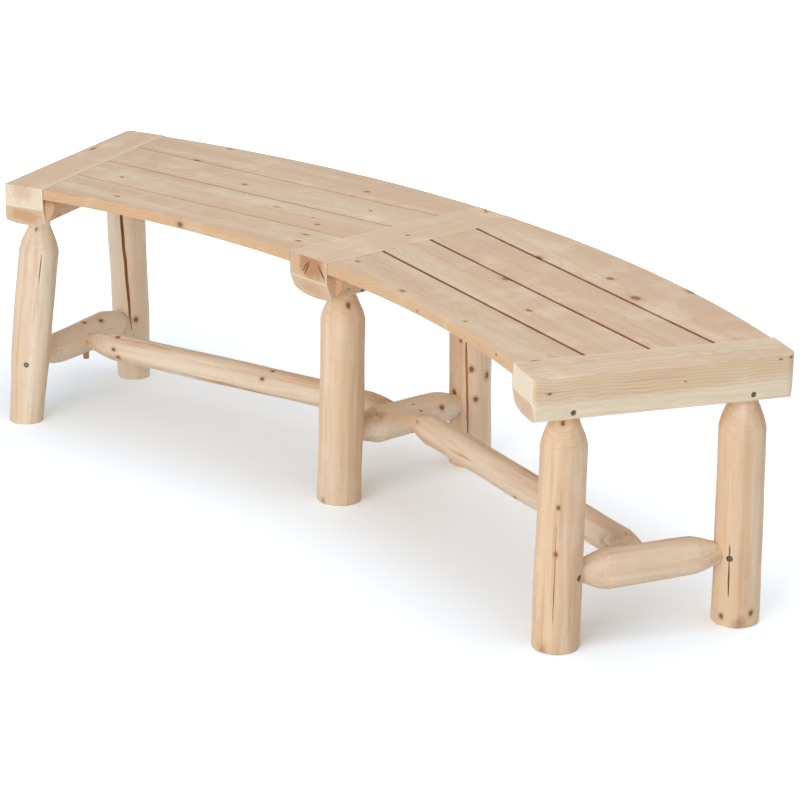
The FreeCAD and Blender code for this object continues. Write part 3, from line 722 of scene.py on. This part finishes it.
def log_wood(node, matrix, seed):
    """Wood of a peeled log, with tan patches, orange streaks, stains and paler ends."""
    wood = Wood(node + "_wood", matrix, LOG_GRAIN, LOG_PITH, seed)
    graph = wood.graph
    look = wood.look
    wood.set_knots(log_knots, LOG_KNOTS[node])
    warmth = LOG_WARMTHS[node]
    base = wood.bands(look.log_pale, look.log_warm, warmth)
    patch = graph.step(wood.noise(42.0, 2.8), 0.42, 0.8)
    base = graph.mix(patch * (0.6 + 0.35 * warmth), base, look.log_tan)
    streak = graph.step(wood.noise(85.0, 5.0, 3.0, 0.6), 0.54, 0.74)
    base = graph.mix(streak * LOG_STREAKS.get(node, FAINT_STREAKS), base, look.resin)
    if node in LOG_STAINS:
        stained = nearest(graph, log_knots(graph, wood.place, LOG_STAINS[node]))
        mottle = graph.step(graph.noise(wood.moved, 60.0, 3.0, 0.6), 0.3, 0.7)
        base = graph.mix(graph.fade(stained, 0.1, 1.3) * mottle * 0.75, base, look.stain_and_shade)
    square = wood.squareness()
    base = graph.mix(graph.step(square, *END_GRAIN_FROM), base, look.end_pale)
    return wood.finished(base, 0.05 + graph.step(square, 0.06, 0.25) * 0.12)


def inside_wood():
    """Wood deep in the drying checks, the mortises and the screws' holes."""
    look = bpy.context.scene.bench_wood
    graph = Graph(bpy.data.materials.new("check_inside"))
    place = graph.node("TexCoord", {}, {}, "Object")
    grain = graph.noise(graph.vector("MULTIPLY", place, (300, 300, 30)), 1.0, 3.0)
    base = graph.mix(graph.step(grain, 0.3, 0.7), look.check_inside, look.check_deep)
    return graph.finish(base, 0.8, grain, 0.5 * MM)


def steel():
    """Plated steel of the screws, a little tarnished."""
    look = bpy.context.scene.bench_wood
    graph = Graph(bpy.data.materials.new("screw_plating"))
    place = graph.node("TexCoord", {}, {}, "Object")
    tarnish = graph.step(graph.noise(place, 700.0, 3.0), 0.35, 0.7)
    base = graph.mix(tarnish, look.plating, look.tarnish)
    return graph.finish(base, 0.36 + tarnish * 0.3, tarnish, 0.1 * MM, metallic=0.8)


def select_only(piece):
    bpy.ops.object.select_all(action="DESELECT")
    piece.select_set(True)
    bpy.context.view_layer.objects.active = piece


@contextmanager
def editing():
    """Edit mode on the active piece, with all of it selected at first."""
    bpy.ops.object.mode_set(mode="EDIT")
    bpy.ops.mesh.select_all(action="SELECT")
    yield
    bpy.ops.object.mode_set(mode="OBJECT")


def draw_out(stations):
    """Extrudes the selected ring from station to station, each with its middle and radius."""
    low, radius = stations[0]
    for middle, next_radius in stations[1:]:
        bpy.ops.mesh.extrude_region_move(TRANSFORM_OT_translate={"value": middle - low})
        factor = next_radius / radius
        bpy.ops.transform.resize(value=(factor, factor, 1), center_override=middle)
        low, radius = middle, next_radius


def face_outwards():
    bpy.ops.mesh.select_all(action="SELECT")
    bpy.ops.mesh.normals_make_consistent(inside=False)


def apply_all(piece):
    """Applies a piece's modifiers."""
    select_only(piece)
    for modifier in list(piece.modifiers):
        bpy.ops.object.modifier_apply(modifier=modifier.name)


def push_by_noise(piece, detail, place, scale, strength, level, direction="NORMAL"):
    """Moves a piece's skin by soft noise, laid out from the place and stretched to the scale."""
    noise = bpy.data.textures.new("soft_noise", "CLOUDS")
    noise.noise_scale = 1.0
    noise.noise_depth = detail
    bpy.ops.object.empty_add(location=place)
    guide = bpy.context.object
    guide.scale = scale
    push = piece.modifiers.new("push", "DISPLACE")
    push.texture = noise
    push.texture_coords = "OBJECT"
    push.texture_coords_object = guide
    push.strength = strength
    push.mid_level = level
    push.direction = direction
    apply_all(piece)
    bpy.data.objects.remove(guide)
    bpy.data.textures.remove(noise)


def corner_keys(node):
    """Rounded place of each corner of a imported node's mesh."""
    return [
        tuple(round(value, CORNER_DIGITS) for value in vertex.co)
        for vertex in frame["nodes"][node].data.vertices
    ]


def cad_points(node):
    """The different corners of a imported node's mesh."""
    return [Vector(key) for key in sorted(set(corner_keys(node)))]


def middle_of(points):
    return sum(points, Vector()) / len(points)


def packed_rings(points, direction):
    """Whole rings of corners across a packed log: each one's run along the log, middle and radius."""
    rings = []
    group = []
    ordered = sorted(points, key=lambda point: point.dot(direction))
    for point in ordered + [None]:
        if group and (point is None or (point - group[-1]).dot(direction) > RING_GAP):
            if len(group) == LOG_CORNERS:
                middle = middle_of(group)
                radius = max((corner - middle).length for corner in group)
                rings.append((middle.dot(direction), middle, radius))
            group = []
        group.append(point)
    return rings


def log_stations(node, first_guess):
    """Start and end of a packed log's middle line and the rings along it, from a rough direction."""
    points = cad_points(node)
    direction = first_guess.normalized()
    for _ in range(SETTLING_ROUNDS):
        rings = packed_rings(points, direction)
        direction = (rings[-1][1] - rings[0][1]).normalized()
    runs = [point.dot(direction) for point in points]
    low_run, low_middle, low_radius = rings[0]
    high_run, high_middle, high_radius = rings[-1]
    start = low_middle + direction * (min(runs) - low_run)
    if node.startswith("leg"):
        start = low_middle - direction * (low_middle.z / direction.z)
    end = high_middle + direction * (max(runs) - high_run)
    offset = start.dot(direction)
    stations = [(0.0, low_radius)]
    stations += [(run - offset, radius) for run, _, radius in rings]
    if max(runs) - high_run > RING_GAP:
        stations.append(((end - start).length, high_radius))
    return start, end, stations


def filled_in(stations, step):
    """Stations with more of them between, no further apart than the step."""
    rings = []
    for (low, r_low), (high, r_high) in zip(stations, stations[1:]):
        count = max(1, round((high - low) / step))
        for k in range(count):
            share = k / count
            rings.append((low + (high - low) * share, r_low + (r_high - r_low) * share))
    rings.append(stations[-1])
    return rings


def drawn_log(name, stations, phase):
    """Log drawn out ring by ring along Z, a little crooked and uneven, with closed ends."""
    shape = bpy.context.scene.bench_logs
    rings = filled_in(stations, shape.ring_step)
    low, high = rings[0][0], rings[-1][0]
    path = [(Vector((0, 0, low)), rings[0][1])]
    for height, radius in rings[1:]:
        share = (height - low) / (high - low)
        bend = math.sin(math.pi * share)
        middle = Vector((
            shape.wander * bend * math.sin(phase + 5.0 * share),
            shape.wander * bend * math.cos(phase * 1.7 + 4.0 * share),
            height,
        ))
        uneven = 1 + GIRTH_SWING * bend * math.sin(phase * 2.3 + 17 * share)
        path.append((middle, radius * uneven))
    bpy.ops.object.select_all(action="DESELECT")
    bpy.ops.mesh.primitive_circle_add(
        vertices=shape.sides, radius=rings[0][1], fill_type="NOTHING", location=(0, 0, 0),
    )
    log = bpy.context.object
    log.name = name
    with editing():
        bpy.ops.transform.translate(value=path[0][0])
        draw_out(path)
        bpy.ops.mesh.select_all(action="SELECT")
        bpy.ops.mesh.fill_holes(sides=0)
        bpy.ops.mesh.select_mode(type="FACE")
        bpy.ops.mesh.select_all(action="DESELECT")
        bpy.ops.mesh.select_face_by_sides(number=shape.sides)
        bpy.ops.mesh.inset(thickness=END_INSET, use_individual=True)
        bpy.ops.mesh.select_mode(type="VERT")
        face_outwards()
    return log


def peel(log, phase):
    """Cuts the drawknife's long uneven flats into a log."""
    finer = log.modifiers.new("finer", "SUBSURF")
    finer.subdivision_type = "SIMPLE"
    finer.levels = finer.render_levels = 1
    stroke = (STROKE_WIDTH, STROKE_WIDTH, STROKE_LENGTH)
    push_by_noise(log, 1, (phase, phase * 0.3, 0), stroke, bpy.context.scene.bench_logs.flats * -2, 0.35)


def level_foot(leg):
    """Saws a leg off level with the floor."""
    select_only(leg)
    with editing():
        bpy.ops.mesh.bisect(
            plane_co=(0, 0, 0), plane_no=(0, 0, 1), use_fill=True, clear_inner=True,
            threshold=CUT_TOLERANCE,
        )


def carve(piece, cutter):
    """Cuts a shape out of a piece and deletes the cutter."""
    cut = piece.modifiers.new("cut", "BOOLEAN")
    cut.operation = "DIFFERENCE"
    cut.object = cutter
    cut.solver = "EXACT"
    cut.material_mode = "TRANSFER"
    apply_all(piece)
    bpy.data.objects.remove(cutter)


def spindle_cutter(start, end, outward, width, depth, bends, phase, material):
    """Long pointed cutter for a drying check from start to end; its bends are a share of its width."""
    bpy.ops.object.select_all(action="DESELECT")
    bpy.ops.mesh.primitive_uv_sphere_add(segments=12, ring_count=40, radius=1.0)
    cutter = bpy.context.object
    cutter.scale = (depth, width / 2, (end - start).length / 2)
    bpy.ops.object.transform_apply(location=False, rotation=False, scale=True)
    cutter.data.materials.append(material)
    push_by_noise(cutter, 2, (0, 0, phase), (1, 1, DRIFT_LENGTH), width * bends, 0.5, "Y")
    along = (start - end).normalized()
    sideways = along.cross(outward).normalized()
    turn = Matrix((sideways.cross(along), sideways, along)).transposed().to_4x4()
    cutter.matrix_world = Matrix.Translation((start + end) / 2) @ turn
    select_only(cutter)
    bpy.ops.object.transform_apply()
    return cutter


def check_cutter(log_radius, check, material, phase):
    """Cutter for one drying check of a log, in the log's own frame."""
    start, end, start_turn, end_turn, width, depth = check
    ends = []
    for along, degrees in ((start, start_turn), (end, end_turn)):
        turn = math.radians(degrees)
        ends.append(Vector((log_radius * math.cos(turn), log_radius * math.sin(turn), along * MM)))
    turn = math.radians((start_turn + end_turn) / 2)
    outward = Vector((math.cos(turn), math.sin(turn), 0))
    return spindle_cutter(*ends, outward, width * MM, depth * MM, 0.5, phase, material)


def end_check_cutter(matrix, front, check, material, phase):
    """Cutter for one drying check in the flat front end of a beam."""
    across, height, far_across, far_height, width = check
    start = matrix @ Vector((across * MM, front, height * MM))
    end = matrix @ Vector((far_across * MM, front, far_height * MM))
    outward = matrix.to_3x3() @ Vector((0, -1, 0))
    return spindle_cutter(start, end, outward, width * MM, END_CHECK_DEPTH, 0.6, phase, material)


def round_cutter(point, direction, radius, depth, material):
    """Round cutter for a mortise or a screw's hole, from a point in a direction."""
    bpy.ops.object.select_all(action="DESELECT")
    bpy.ops.mesh.primitive_cylinder_add(
        vertices=32, radius=radius, depth=depth, location=point + direction * depth / 2,
        rotation=UP.rotation_difference(direction).to_euler(),
    )
    cutter = bpy.context.object
    bpy.ops.object.transform_apply()
    cutter.data.materials.append(material)
    return cutter


def loose_parts(node):
    """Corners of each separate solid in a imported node."""
    keys = corner_keys(node)
    group_of = {}
    groups = []
    for polygon in frame["nodes"][node].data.polygons:
        corners = [keys[index] for index in polygon.vertices]
        joined = {id(group_of[key]): group_of[key] for key in corners if key in group_of}
        merged = set(corners)
        for group in joined.values():
            merged |= group
        groups = [group for group in groups if id(group) not in joined] + [merged]
        for key in merged:
            group_of[key] = merged
    return [sorted(group) for group in groups]


def screws_of(node):
    """Head's middle, direction and length of each packed screw."""
    found = []
    for part in loose_parts(node):
        corners = [Vector(key) for key in part]
        first = corners[0]
        far = max(corners, key=lambda corner: (corner - first).length)
        near = max(corners, key=lambda corner: (corner - far).length)
        ordered = sorted(corners, key=lambda corner: (corner - near).dot(far - near))
        ends = [ordered[:SCREW_CORNERS], ordered[-SCREW_CORNERS:]]
        middles = [middle_of(end) for end in ends]
        spreads = [(end[0] - middle).length for end, middle in zip(ends, middles)]
        if spreads[0] < spreads[1]:
            middles.reverse()
        head, tip = middles
        found.append((head, (tip - head).normalized(), (tip - head).length))
    return found


def finish_piece(piece, node, material):
    """Gives a piece its material, shading and place in the frame; edges marked sharp stay so."""
    if piece.data.materials:
        piece.data.materials[0] = material
    else:
        piece.data.materials.append(material)
    select_only(piece)
    bpy.ops.object.shade_smooth_by_angle(angle=SMOOTH_BELOW)
    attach(piece, "root")
    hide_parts(node)


def screw_holes(start, end, reach, material):
    """Cutters for the holes of the screws whose heads lie in the side of a log."""
    run = (end - start).normalized()
    cutters = []
    for node in ("rung_tenon_screws", "stretcher_tenon_screws"):
        for head, direction, _ in screws_of(node):
            along = (head - start).dot(run)
            off_axis = (head - start - run * along).length
            if 0 < along < (end - start).length and 0.5 * reach < off_axis < reach:
                bottom = head + direction * SCREW_HOLE_DEPTH
                cutters.append(
                    round_cutter(bottom, -direction, SCREW_HOLE_RADIUS, SCREW_HOLE_REACH, material)
                )
    return cutters


def foot_stations(height, radius):
    """Foot of a leg, pared in toward the floor and drawn on below it, to be sawn off level."""
    ease = bpy.context.scene.bench_logs.foot_ease
    return [(-FOOT_ALLOWANCE, radius - ease * 2.2), (height * 0.4, radius - ease * 0.3), (height, radius)]


def log_piece(node, first_guess, phase, mortises, inside):
    """One peeled log, with its mortises, screw holes and drying checks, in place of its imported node."""
    start, end, stations = log_stations(node, first_guess)
    matrix = log_matrix(start, end)
    drop = SHOULDER_DROPS.get(node, 0) * MM
    shoulder = slice(-SHOULDER_RINGS - 1, -1)
    stations[shoulder] = [(height - drop, radius) for height, radius in stations[shoulder]]
    if node.startswith("leg"):
        stations[0:2] = foot_stations(*stations[1])
    log = drawn_log(node + "_peeled", stations, phase)
    peel(log, phase)
    log.data.materials.append(log_wood(node, matrix, phase))
    body_radius = max(radius for _, radius in stations)
    for number, check in enumerate(LOG_CHECKS.get(node, [])):
        carve(log, check_cutter(body_radius, check, inside, phase + number))
    log.matrix_world = matrix
    select_only(log)
    bpy.ops.object.transform_apply()
    if node.startswith("leg"):
        level_foot(log)
    for mortise in mortises:
        carve(log, round_cutter(*mortise, inside))
    for cutter in screw_holes(start, end, body_radius + HEAD_SLACK, inside):
        carve(log, cutter)
    finish_piece(log, node, log.data.materials[0])


def rung_direction(side):
    """Rough direction of a rung, from the front leg to the back leg."""
    turn = SIDE_TURNS[side] * BEAM_ANGLE
    return Vector((math.sin(turn), math.cos(turn), 0))


def tenon_mortise(node, first_guess, at_start):
    """Mortise that takes one tenon of a rung or stretcher: its bottom, direction, radius and reach."""
    start, end, stations = log_stations(node, first_guess)
    run = (end - start).normalized()
    if at_start:
        return (start - run * TENON_FIT, run, stations[0][1] + TENON_FIT, MORTISE_REACH)
    return (end + run * TENON_FIT, -run, stations[-1][1] + TENON_FIT, MORTISE_REACH)


def plank_copy(node, name, ease):
    """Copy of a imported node's mesh, merged, with its edges rounded."""
    piece = frame["nodes"][node].copy()
    piece.data = piece.data.copy()
    piece.data.materials.clear()
    piece.name = name
    piece.parent = None
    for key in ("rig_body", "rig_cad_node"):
        del piece[key]
    bpy.context.scene.collection.objects.link(piece)
    select_only(piece)
    with editing():
        bpy.ops.mesh.remove_doubles(threshold=MERGE_WITHIN)
        bpy.ops.mesh.customdata_custom_splitnormals_clear()
        bpy.ops.mesh.dissolve_limited(angle_limit=FLAT_WITHIN)
    rounding = piece.modifiers.new("ease", "BEVEL")
    rounding.width = ease
    rounding.segments = 3
    rounding.limit_method = "ANGLE"
    rounding.angle_limit = ROUND_ABOVE
    apply_all(piece)
    return piece


def mark_undercut(beam, along):
    """Marks the edge between a beam's flat end and the undercut below it as sharp."""
    select_only(beam)
    with editing():
        bpy.ops.mesh.select_mode(type="EDGE")
        bpy.ops.mesh.select_all(action="DESELECT")
        made = bmesh.from_edit_mesh(beam.data)
        for edge in made.edges:
            at_end = all(abs(face.normal.dot(along)) > LEAST_SQUARENESS for face in edge.link_faces)
            edge.select_set(at_end and edge.calc_face_angle(0) > LEAST_UNDERCUT)
        bmesh.update_edit_mesh(beam.data)
        bpy.ops.mesh.mark_sharp()


def detailed_screw(length):
    """Countersunk wood screw along +Z: cross recess in the head, thread rings and a point."""
    head, neck, root, crest, tip = 4.5 * MM, 2.1 * MM, 1.6 * MM, 2.4 * MM, 0.2 * MM
    chamfer, rim, head_height, pitch = 0.2 * MM, 0.5 * MM, 3.2 * MM, 2.2 * MM
    plain = length * 0.4
    stations = [(0.0, head - chamfer), (chamfer, head), (rim, head), (head_height, neck), (plain, neck)]
    height = plain + 0.6 * MM
    while height < length - 5 * MM:
        stations += [(height, root), (height + pitch * 0.5, root), (height + pitch * 0.7, crest)]
        height += pitch
    stations += [(length - 4.5 * MM, root), (length, tip)]
    bpy.ops.object.select_all(action="DESELECT")
    bpy.ops.mesh.primitive_circle_add(vertices=20, radius=stations[0][1], fill_type="NGON")
    screw = bpy.context.object
    with editing():
        draw_out([(Vector((0, 0, level)), radius) for level, radius in stations])
        face_outwards()
    cross_length, cross_width, cross_depth = 5.6 * MM, 1.0 * MM, 3.2 * MM
    for size in ((cross_length, cross_width, cross_depth), (cross_width, cross_length, cross_depth)):
        bpy.ops.object.select_all(action="DESELECT")
        bpy.ops.mesh.primitive_cube_add(size=1)
        slot = bpy.context.object
        slot.scale = size
        select_only(slot)
        bpy.ops.object.transform_apply(location=False, rotation=False, scale=True)
        carve(screw, slot)
    return screw


def copied(model, name):
    """Copy of a piece with its own mesh."""
    piece = model.copy()
    piece.data = model.data.copy()
    piece.name = name
    bpy.context.scene.collection.objects.link(piece)
    return piece


class BENCH_OT_boards(bpy.types.Operator):
    """Make the seat boards"""

    bl_idname = "bench.boards"
    bl_label = "Seat boards"

    def execute(self, context):
        for segment, turn in SEGMENT_TURNS.items():
            for number in range(1, BOARDS_PER_SEGMENT + 1):
                node = "board_%s_%d" % (segment, number)
                low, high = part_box(node)
                matrix = seat_matrix(node, turn, (low.z + high.z) / 2)
                # The rings' middle lies deeper and nearer the sitter from board to board
                pith = (0, (24 - 15 * number) * MM, (-34 - 11 * number) * MM)
                gap_shades = {}
                if number > 1:
                    gap_shades[-1] = GAP_SHADES[segment][number - 2]
                if number < BOARDS_PER_SEGMENT:
                    gap_shades[1] = GAP_SHADES[segment][number - 1]
                material = board_wood(node, matrix, pith, 3.1 * number + 17 * turn, gap_shades)
                board = plank_copy(node, node + "_planed", context.scene.bench_planks.board_ease)
                finish_piece(board, node, material)
        return {"FINISHED"}


class BENCH_OT_beams(bpy.types.Operator):
    """Make the half-log cross beams"""

    bl_idname = "bench.beams"
    bl_label = "Cross beams"

    def execute(self, context):
        inside = inside_wood()
        for side, turn in SIDE_TURNS.items():
            node = "beam_" + side
            low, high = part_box(node)
            matrix = seat_matrix(node, turn, high.z)
            corners = [matrix.inverted() @ corner for corner in cad_points(node)]
            front = min(corner.y for corner in corners)
            flat_top = [corner.x for corner in corners if corner.z > -TOP_WITHIN]
            widths = [corner.x for corner in corners]
            top_reach = [min(flat_top), max(flat_top)]
            if top_reach[0] - min(widths) < LEAST_LEDGE:
                top_reach[0] = -FAR_OFF
            if max(widths) - top_reach[1] < LEAST_LEDGE:
                top_reach[1] = FAR_OFF
            material = beam_wood(node, matrix, 9.0 + 4 * turn, top_reach, high.z - low.z)
            beam = plank_copy(node, node + "_hewn", context.scene.bench_planks.beam_ease)
            mark_undercut(beam, matrix.to_3x3() @ Vector((0, 1, 0)))
            beam.data.materials.append(material)
            if side == "middle":
                for number, check in enumerate(END_CHECKS):
                    carve(beam, end_check_cutter(matrix, front, check, inside, 3.0 + number))
            finish_piece(beam, node, material)
        return {"FINISHED"}


class BENCH_OT_legs(bpy.types.Operator):
    """Make the six peeled legs"""

    bl_idname = "bench.legs"
    bl_label = "Legs"

    def execute(self, context):
        inside = inside_wood()
        for number, name in enumerate(LEG_NAMES):
            side, place = name.split("_")
            mortise = tenon_mortise("rung_" + side, rung_direction(side), place == "front")
            log_piece("leg_" + name, UP, 2.0 + 1.9 * number, [mortise], inside)
        return {"FINISHED"}


class BENCH_OT_rungs(bpy.types.Operator):
    """Make the rungs and the long stretchers"""

    bl_idname = "bench.rungs"
    bl_label = "Rungs and stretchers"

    def execute(self, context):
        inside = inside_wood()
        to_right = Vector((1, 0, 0))
        for number, side in enumerate(SIDE_TURNS):
            mortises = [
                tenon_mortise(node, to_right, at_start) for node, at_start in STRETCHERS_IN[side]
            ]
            log_piece(
                "rung_" + side, rung_direction(side), 21.0 + 2.3 * number, mortises, inside,
            )
        for number, segment in enumerate(SEGMENT_TURNS):
            log_piece("stretcher_" + segment, to_right, 33.0 + 2.9 * number, [], inside)
        return {"FINISHED"}


class BENCH_OT_screws(bpy.types.Operator):
    """Make the countersunk screws"""

    bl_idname = "bench.screws"
    bl_label = "Screws"

    def execute(self, context):
        plating = steel()
        for node in SCREW_NODES:
            places = screws_of(node)
            model = detailed_screw(places[0][2])
            pieces = []
            for head, direction, _ in places:
                piece = copied(model, node + "_cross")
                piece.matrix_world = log_matrix(head, head + direction)
                pieces.append(piece)
            bpy.data.objects.remove(model)
            select_only(pieces[0])
            for piece in pieces:
                piece.select_set(True)
            bpy.ops.object.transform_apply()
            bpy.ops.object.join()
            finish_piece(pieces[0], node, plating)
        return {"FINISHED"}


def lay_floor(look):
    """Pale matt floor that keeps the bench's shadow and turns white away from it."""
    bpy.ops.object.select_all(action="DESELECT")
    bpy.ops.mesh.primitive_plane_add(size=FLOOR_SIZE, location=(0, 0, 0))
    floor = bpy.context.object
    floor.name = "floor"
    graph = Graph(bpy.data.materials.new("pale_floor"))
    seen = graph.seen_or_mirrored()
    away = graph.step(graph.length(graph.node("TexCoord", {}, {}, "Object")), WHITE_FROM, WHITE_PAST)
    shade = graph.scaled(look.floor, 1 + seen * (look.lift - 1))
    matt = graph.node("BsdfDiffuse", {}, {"Color": shade}, "BSDF")
    bright = graph.node("Emission", {}, {"Color": seen * away, "Strength": 1.0}, "Emission")
    both = graph.node("AddShader", {}, {0: matt, 1: bright}, "Shader")
    graph.node("OutputMaterial", {}, {"Surface": both})
    floor.data.materials.append(graph.owner)


def light_all_round(strength):
    """Even light from all round, which the camera and glossy surfaces see as white."""
    world = bpy.data.worlds.new("white_room")
    bpy.context.scene.world = world
    graph = Graph(world)
    shown = graph.node(
        "MapRange", {}, {"Value": graph.seen_or_mirrored(), "To Min": strength, "To Max": 1.0},
    )
    white = graph.node("Background", {}, {"Color": (1, 1, 1), "Strength": shown}, "Background")
    graph.node("OutputWorld", {}, {"Surface": white})


def soft_light(name, place, size, power):
    """Large square lamp that faces the bench."""
    turn = (LAMPS_AIM - place).to_track_quat("-Z", "Y").to_euler()
    bpy.ops.object.light_add(type="AREA", location=place, rotation=turn)
    lamp = bpy.context.object
    lamp.name = name
    lamp.data.size = size
    lamp.data.energy = power


def place_camera():
    """Camera at its azimuth and elevation round the bench, rolled a little."""
    back = Vector((
        math.sin(CAMERA_AZIMUTH) * math.cos(CAMERA_ELEVATION),
        -math.cos(CAMERA_AZIMUTH) * math.cos(CAMERA_ELEVATION),
        math.sin(CAMERA_ELEVATION),
    ))
    level = (-back).cross(UP).normalized()
    head = level.cross(-back)
    right = level * math.cos(CAMERA_ROLL) + head * math.sin(CAMERA_ROLL)
    upright = head * math.cos(CAMERA_ROLL) - level * math.sin(CAMERA_ROLL)
    turn = Matrix((right, upright, back)).transposed()
    bpy.ops.object.camera_add(location=CAMERA_PLACE, rotation=turn.to_euler())
    camera = bpy.context.object
    camera.data.lens = CAMERA_LENS
    camera.data.sensor_width = CAMERA_SENSOR
    bpy.context.scene.camera = camera


class BENCH_OT_stage(bpy.types.Operator):
    """Make the floor, the lights and the camera"""

    bl_idname = "bench.stage"
    bl_label = "Floor, lights and camera"

    def execute(self, context):
        look = context.scene.bench_stage
        lay_floor(look)
        light_all_round(look.around)
        soft_light("overhead", OVERHEAD_PLACE, OVERHEAD_SIZE, look.overhead)
        soft_light("front", FRONT_PLACE, FRONT_SIZE, look.front)
        place_camera()
        context.scene.view_settings.view_transform = "Standard"
        return {"FINISHED"}


class BENCH_PT_panel(bpy.types.Panel):
    """Steps that make the bench, in order"""

    bl_idname = "BENCH_PT_panel"
    bl_label = "Curved log bench"
    bl_space_type = "VIEW_3D"
    bl_region_type = "UI"
    bl_category = "Bench"

    def draw(self, context):
        for setting in SETTINGS:
            group = getattr(context.scene, setting)
            box = self.layout.box()
            for name in group.bl_rna.properties.keys():
                if name not in ("rna_type", "name"):
                    box.prop(group, name)
        for step in STEPS:
            self.layout.operator(step.bl_idname)


SETTINGS = {
    "bench_wood": WoodLook,
    "bench_logs": LogShape,
    "bench_planks": PlankShape,
    "bench_stage": StageLook,
}
STEPS = [
    BENCH_OT_stage, BENCH_OT_boards, BENCH_OT_beams, BENCH_OT_legs, BENCH_OT_rungs, BENCH_OT_screws,
]


def register():
    for kind in [*SETTINGS.values(), *STEPS, BENCH_PT_panel]:
        bpy.utils.register_class(kind)
    for name, kind in SETTINGS.items():
        setattr(bpy.types.Scene, name, PointerProperty(type=kind))


def unregister():
    for name in SETTINGS:
        delattr(bpy.types.Scene, name)
    for kind in reversed([*SETTINGS.values(), *STEPS, BENCH_PT_panel]):
        bpy.utils.unregister_class(kind)


def main():
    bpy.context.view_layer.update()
    register()
    bpy.ops.bench.stage()
    bpy.ops.bench.boards()
    bpy.ops.bench.beams()
    bpy.ops.bench.legs()
    bpy.ops.bench.rungs()
    bpy.ops.bench.screws()


if __name__ == "__main__":
    main()
